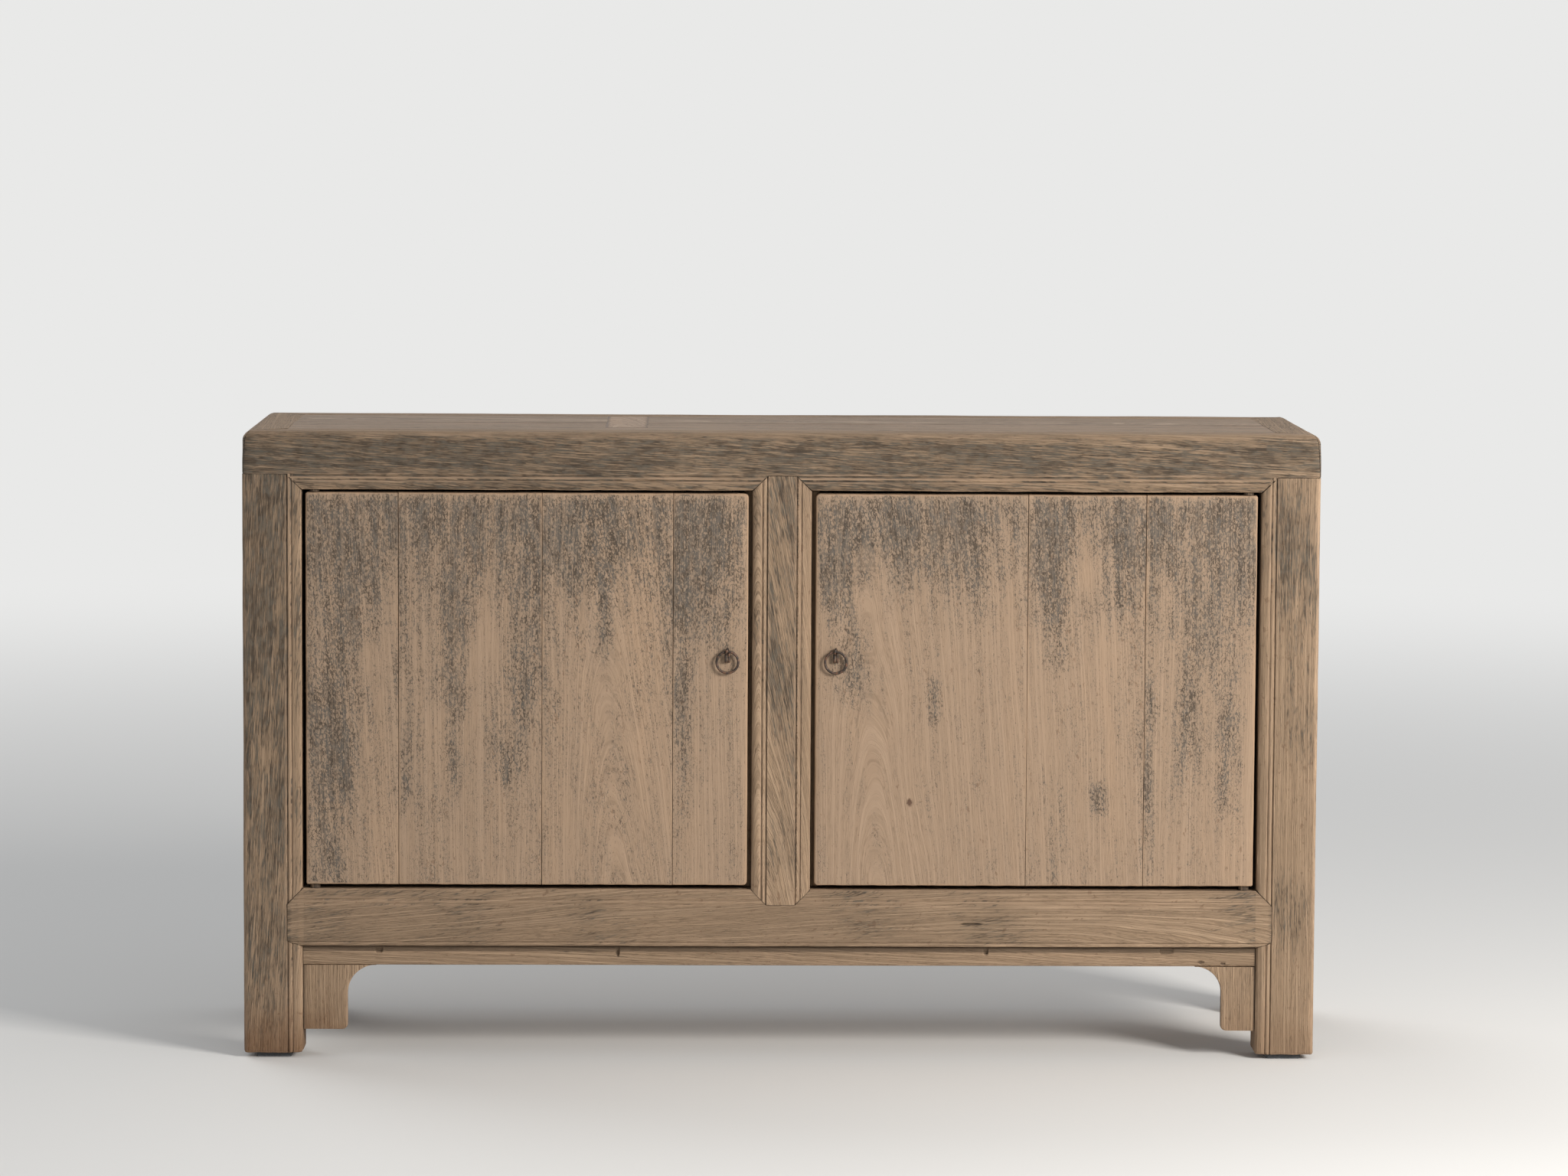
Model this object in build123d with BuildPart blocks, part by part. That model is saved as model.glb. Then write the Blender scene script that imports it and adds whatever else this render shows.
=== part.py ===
from build123d import *
import math
import os

os.makedirs("parts", exist_ok=True)

# Kang cabinet of reclaimed elm: a low case on four square legs, closed by two board doors.
# Millimetres, +Z up. The front faces -Y. The origin is on the floor under the middle of the
# whole cabinet, ring pulls included.

# ------------------------------------------------------------------ overall size
case_width = 1450.0
case_depth = 420.0
case_height = 850.0  # floor to top, on its felt pads
pad_thickness = 6.0

# ------------------------------------------------------------------ frame members
post_width = 80.0  # seen from the front
post_depth = 62.0
post_edge_radius = 6.0
top_frame_width = 58.0  # seen from above
top_frame_thickness = 58.0
top_edge_radius = 13.0
bottom_rail_base = 153.0  # underside of the bottom rails above the floor
bottom_rail_height = 78.0
bottom_rail_depth = 50.0
side_rail_depth = 40.0
mullion_width = 80.0
mullion_depth = 28.0
muntin_width = 60.0
muntin_depth = 34.0
stop_width = 104.0
stop_thickness = 14.0

# ------------------------------------------------------------------ moulding round the doors
moulding_width = 21.0
moulding_drop = 6.0  # how far the opening's edge lies behind the face
ovolo_bulge = 1.6
bead_width = 5.0
bead_crest = 0.3
bead_root = 1.8
quirk_width = 1.6
quirk_depth = 2.4
lower_bead_width = 7.0  # small bead along the bottom rail's lower edge
lower_bead_drop = 3.5

# ------------------------------------------------------------------ joints of the frame
shoulder_thickness = 12.0  # flat mitred lap in front of each tenon
joint_clearance = 0.2
rail_tenon_thickness = 14.0
rail_tenon_setback = 18.0
rail_tenon_length = 48.0
rail_tenon_margin = 12.0
side_tenon_thickness = 14.0
side_tenon_length = 44.0
mullion_tenon_thickness = 10.0
mullion_tenon_width = 40.0
mullion_tenon_length = 24.0
muntin_tenon_thickness = 12.0
muntin_tenon_length = 16.0
post_tenon_height = 22.0
post_tenon_size = 18.0
post_tenon_margin = 11.0  # wood left between a post tenon and the faces of the post
corner_tenon_width = 18.0  # tongue that locks each mitred corner of the top frame
corner_tenon_thickness = 12.0
corner_tenon_rise = 26.0  # underside of that tongue above the post top
corner_tenon_inset = 12.0

# ------------------------------------------------------------------ boards in grooves
groove_depth = 8.0
groove_clearance = 0.15
board_end_gap = 0.8
wall_board_thickness = 12.0
wall_board_recess = 8.0
top_board_thickness = 18.0
top_tongue_thickness = 8.0
top_board_gap = 0.5
floor_board_thickness = 14.0
floor_board_level = 214.0  # upper face of the floor boards
patch_width = 59.0
patch_rear_margin = 9.0
patch_thickness = 5.0
patch_left = -240.0
patch_front_setback = 105.0

# ------------------------------------------------------------------ battens, bearers and shelf
batten_key_depth = 6.0
batten_key_mouth = 18.0
batten_key_root = 24.0
top_batten_width = 34.0
top_batten_height = 26.0
top_batten_spacing = 400.0
batten_tenon_length = 12.0
batten_tenon_height = 14.0
floor_bearer_width = 40.0
floor_bearer_height = 30.0
floor_bearer_spacing = 640.0
shelf_level = 505.0
shelf_thickness = 15.0
shelf_gap = 0.5
cleat_thickness = 20.0
cleat_height = 24.0
cleat_tenon_length = 10.0
cleat_tenon_thickness = 10.0
bearer_width = 30.0
bearer_tenon_length = 8.0

# ------------------------------------------------------------------ apron between the front legs
apron_setback = 9.0
apron_thickness = 14.0
apron_strip_height = 27.0
bracket_width = 60.0
bracket_height = 88.0
bracket_cove_radius = 39.0
bracket_corner_radius = 7.0
pad_width = 48.0
pad_depth = 42.0
pad_corner_radius = 4.0

# ------------------------------------------------------------------ doors
door_thickness = 22.0
door_hinge_gap = 4.5
door_free_gap = 5.0
door_top_gap = 3.0
door_bottom_gap = 5.0
door_stop_clearance = 0.5
door_corner_radius = 6.0
door_hinge_corner_radius = 3.0
door_edge_radius = 2.5
left_board_shares = (0.21, 0.324, 0.296)  # of the door's width, from the hinge edge
right_board_shares = (0.252, 0.267)  # the last board of each door takes the rest
pivot_inset = 12.0  # pivot axis from the hinge edge
pivot_radius = 7.0
pivot_clearance = 0.08
pivot_top_engagement = 12.0
pivot_bottom_engagement = 10.0
pivot_end_clearance = 0.3
pivot_top_spare = 2.0
door_batten_width = 32.0
door_batten_thickness = 16.0
door_batten_inset = 95.0  # batten centre from the door's upper or lower edge
door_batten_hinge_setback = 40.0
door_batten_free_setback = 16.0

# ------------------------------------------------------------------ ring pulls
ring_wire_radius = 1.8
ring_radius = 14.5  # to the centre of the wire
ring_free_edge_distance = 28.0
ring_height = 555.0
eye_clearance = 0.35
eye_face_gap = 0.3
staple_wire_radius = 1.6
wire_sides = 8
ring_bends = 24  # short straight runs that the ring is hammered from
eye_bends = 12
staple_leg_spacing = 4.2
staple_drop = 14.0  # the legs enter the door this far below the eye
staple_bend_radius = 1.8
staple_clench_length = 18.0
staple_hole_clearance = 0.2

# ------------------------------------------------------------------ positions
half_width = case_width / 2
door_recess = mullion_depth - door_thickness - door_stop_clearance
eye_radius = ring_wire_radius + eye_clearance + staple_wire_radius
eye_standoff = eye_radius + staple_wire_radius + eye_face_gap
pull_projection = eye_standoff + eye_radius + staple_wire_radius - door_recess
front_face = -(case_depth - pull_projection) / 2
rear_face = front_face + case_depth
middle_depth = (front_face + rear_face) / 2
foot_level = pad_thickness
top_level = case_height
post_top = top_level - top_frame_thickness
opening_top = post_top - moulding_width
opening_bottom = bottom_rail_base + bottom_rail_height
opening_edge = half_width - post_width
moulded_edge = opening_edge + moulding_width
mullion_half = mullion_width / 2
band_half = mullion_half - moulding_width
front_post_back = front_face + post_depth
rear_post_front = rear_face - post_depth
front_rail_back = front_face + bottom_rail_depth
rear_rail_front = rear_face - bottom_rail_depth
frame_inner_x = half_width - top_frame_width
frame_inner_front = front_face + top_frame_width
frame_inner_rear = rear_face - top_frame_width
panel_underside = top_level - top_board_thickness
side_board_outer = half_width - wall_board_recess
side_board_inner = side_board_outer - wall_board_thickness
back_board_outer = rear_face - wall_board_recess
back_board_inner = back_board_outer - wall_board_thickness
side_rail_inner = half_width - side_rail_depth
muntin_front = rear_face - muntin_depth
stop_front = front_face + mullion_depth
stop_back = stop_front + stop_thickness
floor_underside = floor_board_level - floor_board_thickness
shelf_underside = shelf_level - shelf_thickness
front_plane = Plane.XZ.offset(-front_face)
cut_margin = 1.0


def save(piece, name):
    """Label a finished piece and write it to its own file."""
    piece.part.label = name
    export_step(piece.part, f"parts/{name}.step")


def ordered(first, second):
    """Two limits, the lower one first."""
    return (min(first, second), max(first, second))


def block(x_limits, y_limits, z_limits, mode=Mode.ADD):
    """Add or cut a rectangular block between limits along each axis."""
    limits = (x_limits, y_limits, z_limits)
    centre = tuple(sum(pair) / 2 for pair in limits)
    with Locations(centre):
        Box(*(high - low for low, high in limits), mode=mode)


def eased(limits, clearance=joint_clearance):
    """The limits of a tenon, opened up on every side to make its mortise."""
    return tuple((low - clearance, high + clearance) for low, high in limits)


def front_shape(points, plane, depth, mode=Mode.ADD):
    """Add or cut a straight-sided shape drawn on an upright plane and worked towards the back."""
    with BuildSketch(plane) as outline:
        with BuildLine():
            Polyline(*points, close=True)
        make_face()
    extrude(outline.sketch, amount=-depth, mode=mode)


# ------------------------------------------------------------------ mouldings
def cut_along_arris(arris_middle, across, length, draw_surface, width, drop, into=(0, 1, 0)):
    """Shape one arris of a member.

    across points from the arris over the face, and into from the face into the wood. draw_surface
    draws the finished surface, from the arris at the given drop to the face at the given width.
    """
    section = Plane(origin=arris_middle, x_dir=across, z_dir=Vector(*across).cross(Vector(*into)))
    with BuildSketch(section) as waste:
        with BuildLine():
            draw_surface()
            Polyline(
                (width, 0), (width, -cut_margin), (-cut_margin, -cut_margin), (-cut_margin, drop), (0, drop)
            )
        make_face()
    extrude(waste.sketch, amount=length / 2, both=True, mode=Mode.SUBTRACT)


def draw_bead_and_ovolo():
    """Section of the moulding: an ovolo up from the opening, a quirk, a bead and a quirk."""
    ovolo_width = moulding_width - bead_width - 2 * quirk_width
    bead_start = ovolo_width + quirk_width
    bead_end = bead_start + bead_width
    ovolo_top = bead_root - quirk_width / 2
    ThreePointArc(
        (0, moulding_drop),
        (ovolo_width / 2 - ovolo_bulge / 2, (moulding_drop + ovolo_top) / 2 - ovolo_bulge),
        (ovolo_width, ovolo_top),
    )
    Polyline((ovolo_width, ovolo_top), (ovolo_width + quirk_width / 2, quirk_depth), (bead_start, bead_root))
    ThreePointArc((bead_start, bead_root), (bead_start + bead_width / 2, bead_crest), (bead_end, bead_root))
    Polyline((bead_end, bead_root), (bead_end + quirk_width / 2, quirk_depth), (moulding_width, 0))


def draw_small_bead():
    """Section of the small bead: a quarter round and a quirk."""
    round_width = lower_bead_width - quirk_width
    ThreePointArc(
        (0, lower_bead_drop), (round_width / 4, lower_bead_drop / 3), (round_width * 3 / 4, bead_crest)
    )
    Polyline(
        (round_width * 3 / 4, bead_crest),
        (round_width, bead_crest),
        (lower_bead_width - quirk_width / 2, bead_root),
        (lower_bead_width, 0),
    )


def draw_rim():
    """Section of the rounded rim of the top."""
    middle = top_edge_radius * (1 - math.sqrt(0.5))
    ThreePointArc((0, top_edge_radius), (middle, middle), (top_edge_radius, 0))


def cut_rim(arris_middle, length, into):
    """Round the upper outer arris of one member of the top frame."""
    cut_along_arris(arris_middle, (0, 0, -1), length, draw_rim, top_edge_radius, top_edge_radius, into)


def cut_top_corners():
    """Round the upright corners of the top frame to match the posts."""
    with BuildSketch(Plane.XY.offset(post_top)) as corner_waste:
        with Locations((0, middle_depth)):
            Rectangle(case_width + 2 * cut_margin, case_depth + 2 * cut_margin)
            RectangleRounded(case_width, case_depth, post_edge_radius, mode=Mode.SUBTRACT)
    extrude(corner_waste.sketch, amount=top_frame_thickness, mode=Mode.SUBTRACT)


def cut_moulding(arris_middle, across, length):
    """Run the bead-and-ovolo moulding along an arris."""
    cut_along_arris(arris_middle, across, length, draw_bead_and_ovolo, moulding_width, moulding_drop)


# ------------------------------------------------------------------ shapes shared by mating pieces
def top_rail_shoulder(side):
    """Mitred lap of the top front rail over the moulding of one front post."""
    return [
        (side * opening_edge, opening_top),
        (side * opening_edge, post_top),
        (side * moulded_edge, post_top),
    ]


def bottom_rail_shoulder(side):
    """Lap of the bottom front rail over one front post, mitred at both mouldings."""
    return [
        (side * opening_edge, opening_bottom),
        (side * moulded_edge, opening_bottom - moulding_width),
        (side * moulded_edge, bottom_rail_base + lower_bead_width),
        (side * opening_edge, bottom_rail_base),
    ]


def mullion_shoulder(level, direction):
    """Lap of the mullion over a rail, mitred on both sides of its flat band."""
    tip = level + direction * moulding_width
    return [(-mullion_half, level), (-band_half, tip), (band_half, tip), (mullion_half, level)]


def rail_tenon(side, outer_face, inwards, base):
    """Tenon of a front or rear bottom rail into a post."""
    near = outer_face + inwards * rail_tenon_setback
    return (
        ordered(side * opening_edge, side * (opening_edge + rail_tenon_length)),
        ordered(near, near + inwards * rail_tenon_thickness),
        (base + rail_tenon_margin, opening_bottom - moulding_width),
    )


def side_rail_tenon(side, post_face, inwards):
    """Tenon of a side bottom rail into a post."""
    middle = side * (half_width - side_rail_depth / 2)
    return (
        (middle - side_tenon_thickness / 2, middle + side_tenon_thickness / 2),
        ordered(post_face, post_face + inwards * side_tenon_length),
        (bottom_rail_base + rail_tenon_margin, opening_bottom - rail_tenon_margin),
    )


def mullion_tenon(level, direction):
    """Tenon of the mullion into a front rail."""
    near = stop_front - mullion_tenon_thickness - (mullion_depth - shoulder_thickness) / 4
    return (
        (-mullion_tenon_width / 2, mullion_tenon_width / 2),
        (near, near + mullion_tenon_thickness),
        ordered(level, level + direction * mullion_tenon_length),
    )


def muntin_tenon(level, direction):
    """Tenon of the rear muntin into a rear rail."""
    return (
        (-muntin_width / 4, muntin_width / 4),
        (muntin_front + (muntin_depth - muntin_tenon_thickness) / 3,
         muntin_front + (muntin_depth - muntin_tenon_thickness) / 3 + muntin_tenon_thickness),
        ordered(level, level + direction * muntin_tenon_length),
    )


def long_post_tenon(side, outer_face, inwards):
    """Tenon on a post top that enters the long rail of the top frame."""
    near_x = opening_edge + post_tenon_margin
    near_y = outer_face + inwards * post_tenon_margin
    return (
        ordered(side * near_x, side * (near_x + post_tenon_size)),
        ordered(near_y, near_y + inwards * post_tenon_size),
        (post_top, post_top + post_tenon_height),
    )


def short_post_tenon(side, outer_face, inwards):
    """Tenon on a post top that enters the end rail of the top frame."""
    far_x = half_width - post_tenon_margin
    far_y = outer_face + inwards * (post_depth - post_tenon_margin)
    return (
        ordered(side * (far_x - post_tenon_size), side * far_x),
        ordered(far_y - inwards * post_tenon_size, far_y),
        (post_top, post_top + post_tenon_height),
    )


def corner_tenon(side, outer_face, inwards):
    """Tongue of a long top rail that crosses the mitre into the end rail."""
    near = outer_face + inwards * corner_tenon_width
    base = post_top + corner_tenon_rise
    return (
        ordered(side * (frame_inner_x - corner_tenon_inset), side * (half_width - corner_tenon_inset)),
        ordered(near, near + inwards * corner_tenon_width),
        (base, base + corner_tenon_thickness),
    )


def batten_key(middle_x, y_limits, underside, mode):
    """Dovetail key along Y that stands up from an underside."""
    with BuildSketch(Plane.XZ.offset(-y_limits[0])) as key:
        with BuildLine():
            Polyline(
                (middle_x - batten_key_mouth / 2, underside),
                (middle_x + batten_key_mouth / 2, underside),
                (middle_x + batten_key_root / 2, underside + batten_key_depth),
                (middle_x - batten_key_root / 2, underside + batten_key_depth),
                close=True,
            )
        make_face()
    extrude(key.sketch, amount=-(y_limits[1] - y_limits[0]), mode=mode)


def top_batten_tenon(middle_x, rail_face, outwards):
    """Stub tenon of a top batten into a long rail of the top frame."""
    middle_z = panel_underside - top_batten_height / 2
    return (
        (middle_x - batten_key_mouth / 2, middle_x + batten_key_mouth / 2),
        ordered(rail_face, rail_face + outwards * batten_tenon_length),
        (middle_z - batten_tenon_height / 2, middle_z + batten_tenon_height / 2),
    )


def floor_bearer_tenon(middle_x, rail_face, outwards):
    """Stub tenon of a floor bearer into a bottom rail."""
    middle_z = floor_underside - floor_bearer_height / 2
    return (
        (middle_x - floor_bearer_width / 4, middle_x + floor_bearer_width / 4),
        ordered(rail_face, rail_face + outwards * batten_tenon_length),
        (middle_z - batten_tenon_height / 2, middle_z + batten_tenon_height / 2),
    )


def cleat_tenon(side, post_face, outwards):
    """Stub tenon of a shelf cleat into a post."""
    middle_x = side * (side_board_inner - cleat_thickness / 2)
    middle_z = shelf_underside - cleat_height / 2
    return (
        (middle_x - cleat_tenon_thickness / 2, middle_x + cleat_tenon_thickness / 2),
        ordered(post_face, post_face + outwards * cleat_tenon_length),
        (middle_z - cleat_height / 4, middle_z + cleat_height / 4),
    )


def bearer_tenon(face, outwards):
    """Stub tenon of the shelf's centre bearer into the door stop or the rear muntin."""
    middle_z = shelf_underside - cleat_height / 2
    return (
        (-bearer_width / 4, bearer_width / 4),
        ordered(face, face + outwards * bearer_tenon_length),
        (middle_z - cleat_height / 4, middle_z + cleat_height / 4),
    )


def groove(limits):
    """Cut a groove, a little wider than the board that it holds."""
    block(*eased(limits, groove_clearance), mode=Mode.SUBTRACT)


panel_pocket = (
    (-frame_inner_x - groove_depth, frame_inner_x + groove_depth),
    (frame_inner_front - groove_depth, frame_inner_rear + groove_depth),
    (panel_underside, panel_underside + top_tongue_thickness),
)
side_groove_run = (front_post_back - groove_depth, rear_post_front + groove_depth)
back_groove_run = (-opening_edge - groove_depth, opening_edge + groove_depth)
top_batten_positions = [step * top_batten_spacing for step in (-1, 0, 1)]
floor_bearer_positions = [step * floor_bearer_spacing / 2 for step in (-1, 1)]
side_names = {-1: "left", 1: "right"}

# ------------------------------------------------------------------ posts
for side, side_name in side_names.items():
    for place, outer_face, inwards in (("front", front_face, 1), ("rear", rear_face, -1)):
        inner_face = outer_face + inwards * post_depth
        y_limits = ordered(outer_face, inner_face)
        with BuildPart() as post:
            with BuildSketch(Plane.XY.offset(foot_level)):
                with Locations((side * (half_width - post_width / 2), sum(y_limits) / 2)):
                    Rectangle(post_width, post_depth)
                outer_corners = vertices().group_by(Axis.X)[0 if side < 0 else -1]
                fillet(outer_corners, post_edge_radius)
            extrude(amount=post_top - foot_level)
            if place == "front":
                post_middle = (side * opening_edge, front_face, (foot_level + post_top) / 2)
                cut_moulding(post_middle, (side, 0, 0), post_top - foot_level + 2 * cut_margin)
                front_shape(top_rail_shoulder(side), front_plane, shoulder_thickness, Mode.SUBTRACT)
                front_shape(bottom_rail_shoulder(side), front_plane, shoulder_thickness, Mode.SUBTRACT)
            block(*long_post_tenon(side, outer_face, inwards))
            block(*short_post_tenon(side, outer_face, inwards))
            block(*eased(rail_tenon(side, outer_face, inwards, bottom_rail_base)), mode=Mode.SUBTRACT)
            block(*eased(side_rail_tenon(side, inner_face, -inwards)), mode=Mode.SUBTRACT)
            block(*eased(cleat_tenon(side, inner_face, -inwards)), mode=Mode.SUBTRACT)
            side_groove_x = ordered(side * side_board_inner, side * side_board_outer)
            side_groove_y = ordered(inner_face, inner_face - inwards * groove_depth)
            groove((side_groove_x, side_groove_y, (opening_bottom - groove_depth, post_top)))
            if place == "rear":
                back_groove_x = ordered(side * opening_edge, side * (opening_edge + groove_depth))
                back_groove_z = (opening_bottom - groove_depth, post_top)
                groove((back_groove_x, (back_board_inner, back_board_outer), back_groove_z))
        save(post, f"{place}_{side_name}_post")

# ------------------------------------------------------------------ top frame
for place, outer_face, inner_edge, inwards in (
    ("front", front_face, frame_inner_front, 1),
    ("rear", rear_face, frame_inner_rear, -1),
):
    with BuildPart() as long_rail:
        with BuildSketch(Plane.XY.offset(post_top)):
            with BuildLine():
                Polyline(
                    (-half_width, outer_face),
                    (half_width, outer_face),
                    (frame_inner_x, inner_edge),
                    (-frame_inner_x, inner_edge),
                    close=True,
                )
            make_face()
        extrude(amount=top_frame_thickness)
        cut_rim((0, outer_face, top_level), case_width + 2 * cut_margin, (0, inwards, 0))
        cut_top_corners()
        if place == "front":
            block((-opening_edge, opening_edge), (front_face, frame_inner_front), (opening_top, post_top))
            for side in side_names:
                front_shape(top_rail_shoulder(side), front_plane, shoulder_thickness)
        if place == "front":
            cut_moulding((0, front_face, opening_top), (0, 0, 1), 2 * (moulded_edge + cut_margin))
            front_shape(mullion_shoulder(opening_top, 1), front_plane, shoulder_thickness, Mode.SUBTRACT)
            block(*eased(mullion_tenon(opening_top, 1)), mode=Mode.SUBTRACT)
            pivot_y = front_face + door_recess + door_thickness / 2
            pivot_x = opening_edge - door_hinge_gap - pivot_inset
            socket_depth = pivot_top_engagement + pivot_top_spare
            with Locations(Plane.XY.offset(opening_top)):
                with Locations((-pivot_x, pivot_y), (pivot_x, pivot_y)):
                    Cylinder(
                        pivot_radius + pivot_clearance,
                        socket_depth,
                        align=(Align.CENTER, Align.CENTER, Align.MIN),
                        mode=Mode.SUBTRACT,
                    )
        else:
            block(*eased(muntin_tenon(post_top, 1)), mode=Mode.SUBTRACT)
            back_groove_z = (post_top, post_top + groove_depth)
            groove((back_groove_run, (back_board_inner, back_board_outer), back_groove_z))
        for side in side_names:
            block(*corner_tenon(side, outer_face, inwards))
            block(*eased(long_post_tenon(side, outer_face, inwards)), mode=Mode.SUBTRACT)
        groove(panel_pocket)
        for middle_x in top_batten_positions:
            block(*eased(top_batten_tenon(middle_x, inner_edge, -inwards)), mode=Mode.SUBTRACT)
    save(long_rail, f"top_{place}_rail")

for side, side_name in side_names.items():
    with BuildPart() as end_rail:
        with BuildSketch(Plane.XY.offset(post_top)):
            with BuildLine():
                Polyline(
                    (side * half_width, front_face),
                    (side * half_width, rear_face),
                    (side * frame_inner_x, frame_inner_rear),
                    (side * frame_inner_x, frame_inner_front),
                    close=True,
                )
            make_face()
        extrude(amount=top_frame_thickness)
        cut_rim((side * half_width, middle_depth, top_level), case_depth + 2 * cut_margin, (-side, 0, 0))
        cut_top_corners()
        for outer_face, inwards in ((front_face, 1), (rear_face, -1)):
            block(*eased(corner_tenon(side, outer_face, inwards)), mode=Mode.SUBTRACT)
            block(*eased(short_post_tenon(side, outer_face, inwards)), mode=Mode.SUBTRACT)
        groove(panel_pocket)
        side_groove_x = ordered(side * side_board_inner, side * side_board_outer)
        groove((side_groove_x, side_groove_run, (post_top, post_top + groove_depth)))
    save(end_rail, f"top_{side_name}_end_rail")

# ------------------------------------------------------------------ floating boards of the top
patch_front = front_face + patch_front_setback
patch_x_limits = (patch_left, patch_left + patch_width)
patch_y_limits = (patch_front, frame_inner_rear - patch_rear_margin)
tongue_reach = groove_depth - board_end_gap

for place, outer_edge, inwards in (("front", frame_inner_front, 1), ("rear", frame_inner_rear, -1)):
    field_x = frame_inner_x - top_board_gap
    field_y = ordered(outer_edge + inwards * top_board_gap, middle_depth)
    tongue_x = frame_inner_x + tongue_reach
    tongue_y = ordered(outer_edge - inwards * tongue_reach, middle_depth)
    with BuildPart() as top_board:
        block((-field_x, field_x), field_y, (panel_underside, top_level))
        tongue_z = (panel_underside, panel_underside + top_tongue_thickness)
        block((-tongue_x, tongue_x), tongue_y, tongue_z)
        for middle_x in top_batten_positions:
            batten_key(middle_x, tongue_y, panel_underside, Mode.SUBTRACT)
        patch_seat_z = (top_level - patch_thickness, top_level + cut_margin)
        block(patch_x_limits, patch_y_limits, patch_seat_z, mode=Mode.SUBTRACT)
    save(top_board, f"top_{place}_board")

with BuildPart() as top_patch:
    block(patch_x_limits, patch_y_limits, (top_level - patch_thickness, top_level))
save(top_patch, "top_patch")

for middle_x, name in zip(top_batten_positions, ("left", "centre", "right")):
    with BuildPart() as top_batten:
        batten_x = (middle_x - top_batten_width / 2, middle_x + top_batten_width / 2)
        batten_z = (panel_underside - top_batten_height, panel_underside)
        block(batten_x, (frame_inner_front, frame_inner_rear), batten_z)
        lower_edges = edges().filter_by(Axis.Y).group_by(Axis.Z)[0]
        chamfer(lower_edges, top_batten_width / 12)
        key_y = (frame_inner_front + top_board_gap, frame_inner_rear - top_board_gap)
        batten_key(middle_x, key_y, panel_underside, Mode.ADD)
        block(*top_batten_tenon(middle_x, frame_inner_front, -1))
        block(*top_batten_tenon(middle_x, frame_inner_rear, 1))
    save(top_batten, f"top_batten_{name}")

# ------------------------------------------------------------------ bottom frame
for place, outer_face, inner_edge, inwards in (
    ("front", front_face, front_rail_back, 1),
    ("rear", rear_face, rear_rail_front, -1),
):
    with BuildPart() as bottom_rail:
        rail_z = (bottom_rail_base, opening_bottom)
        block((-opening_edge, opening_edge), ordered(outer_face, inner_edge), rail_z)
        if place == "front":
            for side in side_names:
                front_shape(bottom_rail_shoulder(side), front_plane, shoulder_thickness)
            shaped_length = 2 * (moulded_edge + cut_margin)
            cut_moulding((0, front_face, opening_bottom), (0, 0, -1), shaped_length)
            lower_arris = (0, front_face, bottom_rail_base)
            cut_along_arris(
                lower_arris, (0, 0, 1), shaped_length, draw_small_bead, lower_bead_width, lower_bead_drop
            )
            front_shape(mullion_shoulder(opening_bottom, -1), front_plane, shoulder_thickness, Mode.SUBTRACT)
            block(*eased(mullion_tenon(opening_bottom, -1)), mode=Mode.SUBTRACT)
            pivot_y = front_face + door_recess + door_thickness / 2
            pivot_x = opening_edge - door_hinge_gap - pivot_inset
            with Locations(Plane.XY.offset(opening_bottom)):
                with Locations((-pivot_x, pivot_y), (pivot_x, pivot_y)):
                    Cylinder(
                        pivot_radius + pivot_clearance,
                        pivot_bottom_engagement + pivot_end_clearance,
                        align=(Align.CENTER, Align.CENTER, Align.MAX),
                        mode=Mode.SUBTRACT,
                    )
        else:
            block(*eased(muntin_tenon(opening_bottom, -1)), mode=Mode.SUBTRACT)
            back_groove_z = (opening_bottom - groove_depth, opening_bottom)
            groove((back_groove_run, (back_board_inner, back_board_outer), back_groove_z))
        for side in side_names:
            block(*rail_tenon(side, outer_face, inwards, bottom_rail_base))
        floor_groove_y = ordered(inner_edge, inner_edge - inwards * groove_depth)
        groove(((-opening_edge, opening_edge), floor_groove_y, (floor_underside, floor_board_level)))
        for middle_x in floor_bearer_positions:
            block(*eased(floor_bearer_tenon(middle_x, inner_edge, -inwards)), mode=Mode.SUBTRACT)
    save(bottom_rail, f"bottom_{place}_rail")

for side, side_name in side_names.items():
    with BuildPart() as side_rail:
        rail_x = ordered(side * side_rail_inner, side * half_width)
        block(rail_x, (front_post_back, rear_post_front), (bottom_rail_base, opening_bottom))
        outer_edges = edges().filter_by(Axis.Y).group_by(Axis.X)[0 if side < 0 else -1]
        fillet(outer_edges, post_edge_radius / 3)
        block(*side_rail_tenon(side, front_post_back, -1))
        block(*side_rail_tenon(side, rear_post_front, 1))
        board_groove_x = ordered(side * side_board_inner, side * side_board_outer)
        board_groove_z = (opening_bottom - groove_depth, opening_bottom)
        groove((board_groove_x, side_groove_run, board_groove_z))
        floor_groove_x = ordered(side * side_rail_inner, side * (side_rail_inner + groove_depth))
        groove((floor_groove_x, (front_post_back, rear_post_front), (floor_underside, floor_board_level)))
    save(side_rail, f"bottom_{side_name}_rail")

# ------------------------------------------------------------------ mullion, stop and muntin
with BuildPart() as centre_mullion:
    block((-mullion_half, mullion_half), (front_face, stop_front), (opening_bottom, opening_top))
    front_shape(mullion_shoulder(opening_top, 1), front_plane, shoulder_thickness)
    front_shape(mullion_shoulder(opening_bottom, -1), front_plane, shoulder_thickness)
    mullion_middle = (opening_bottom + opening_top) / 2
    mullion_reach = opening_top - opening_bottom + 2 * (moulding_width + cut_margin)
    for side in side_names:
        cut_moulding((side * mullion_half, front_face, mullion_middle), (-side, 0, 0), mullion_reach)
    block(*mullion_tenon(opening_top, 1))
    block(*mullion_tenon(opening_bottom, -1))
save(centre_mullion, "centre_mullion")

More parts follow.
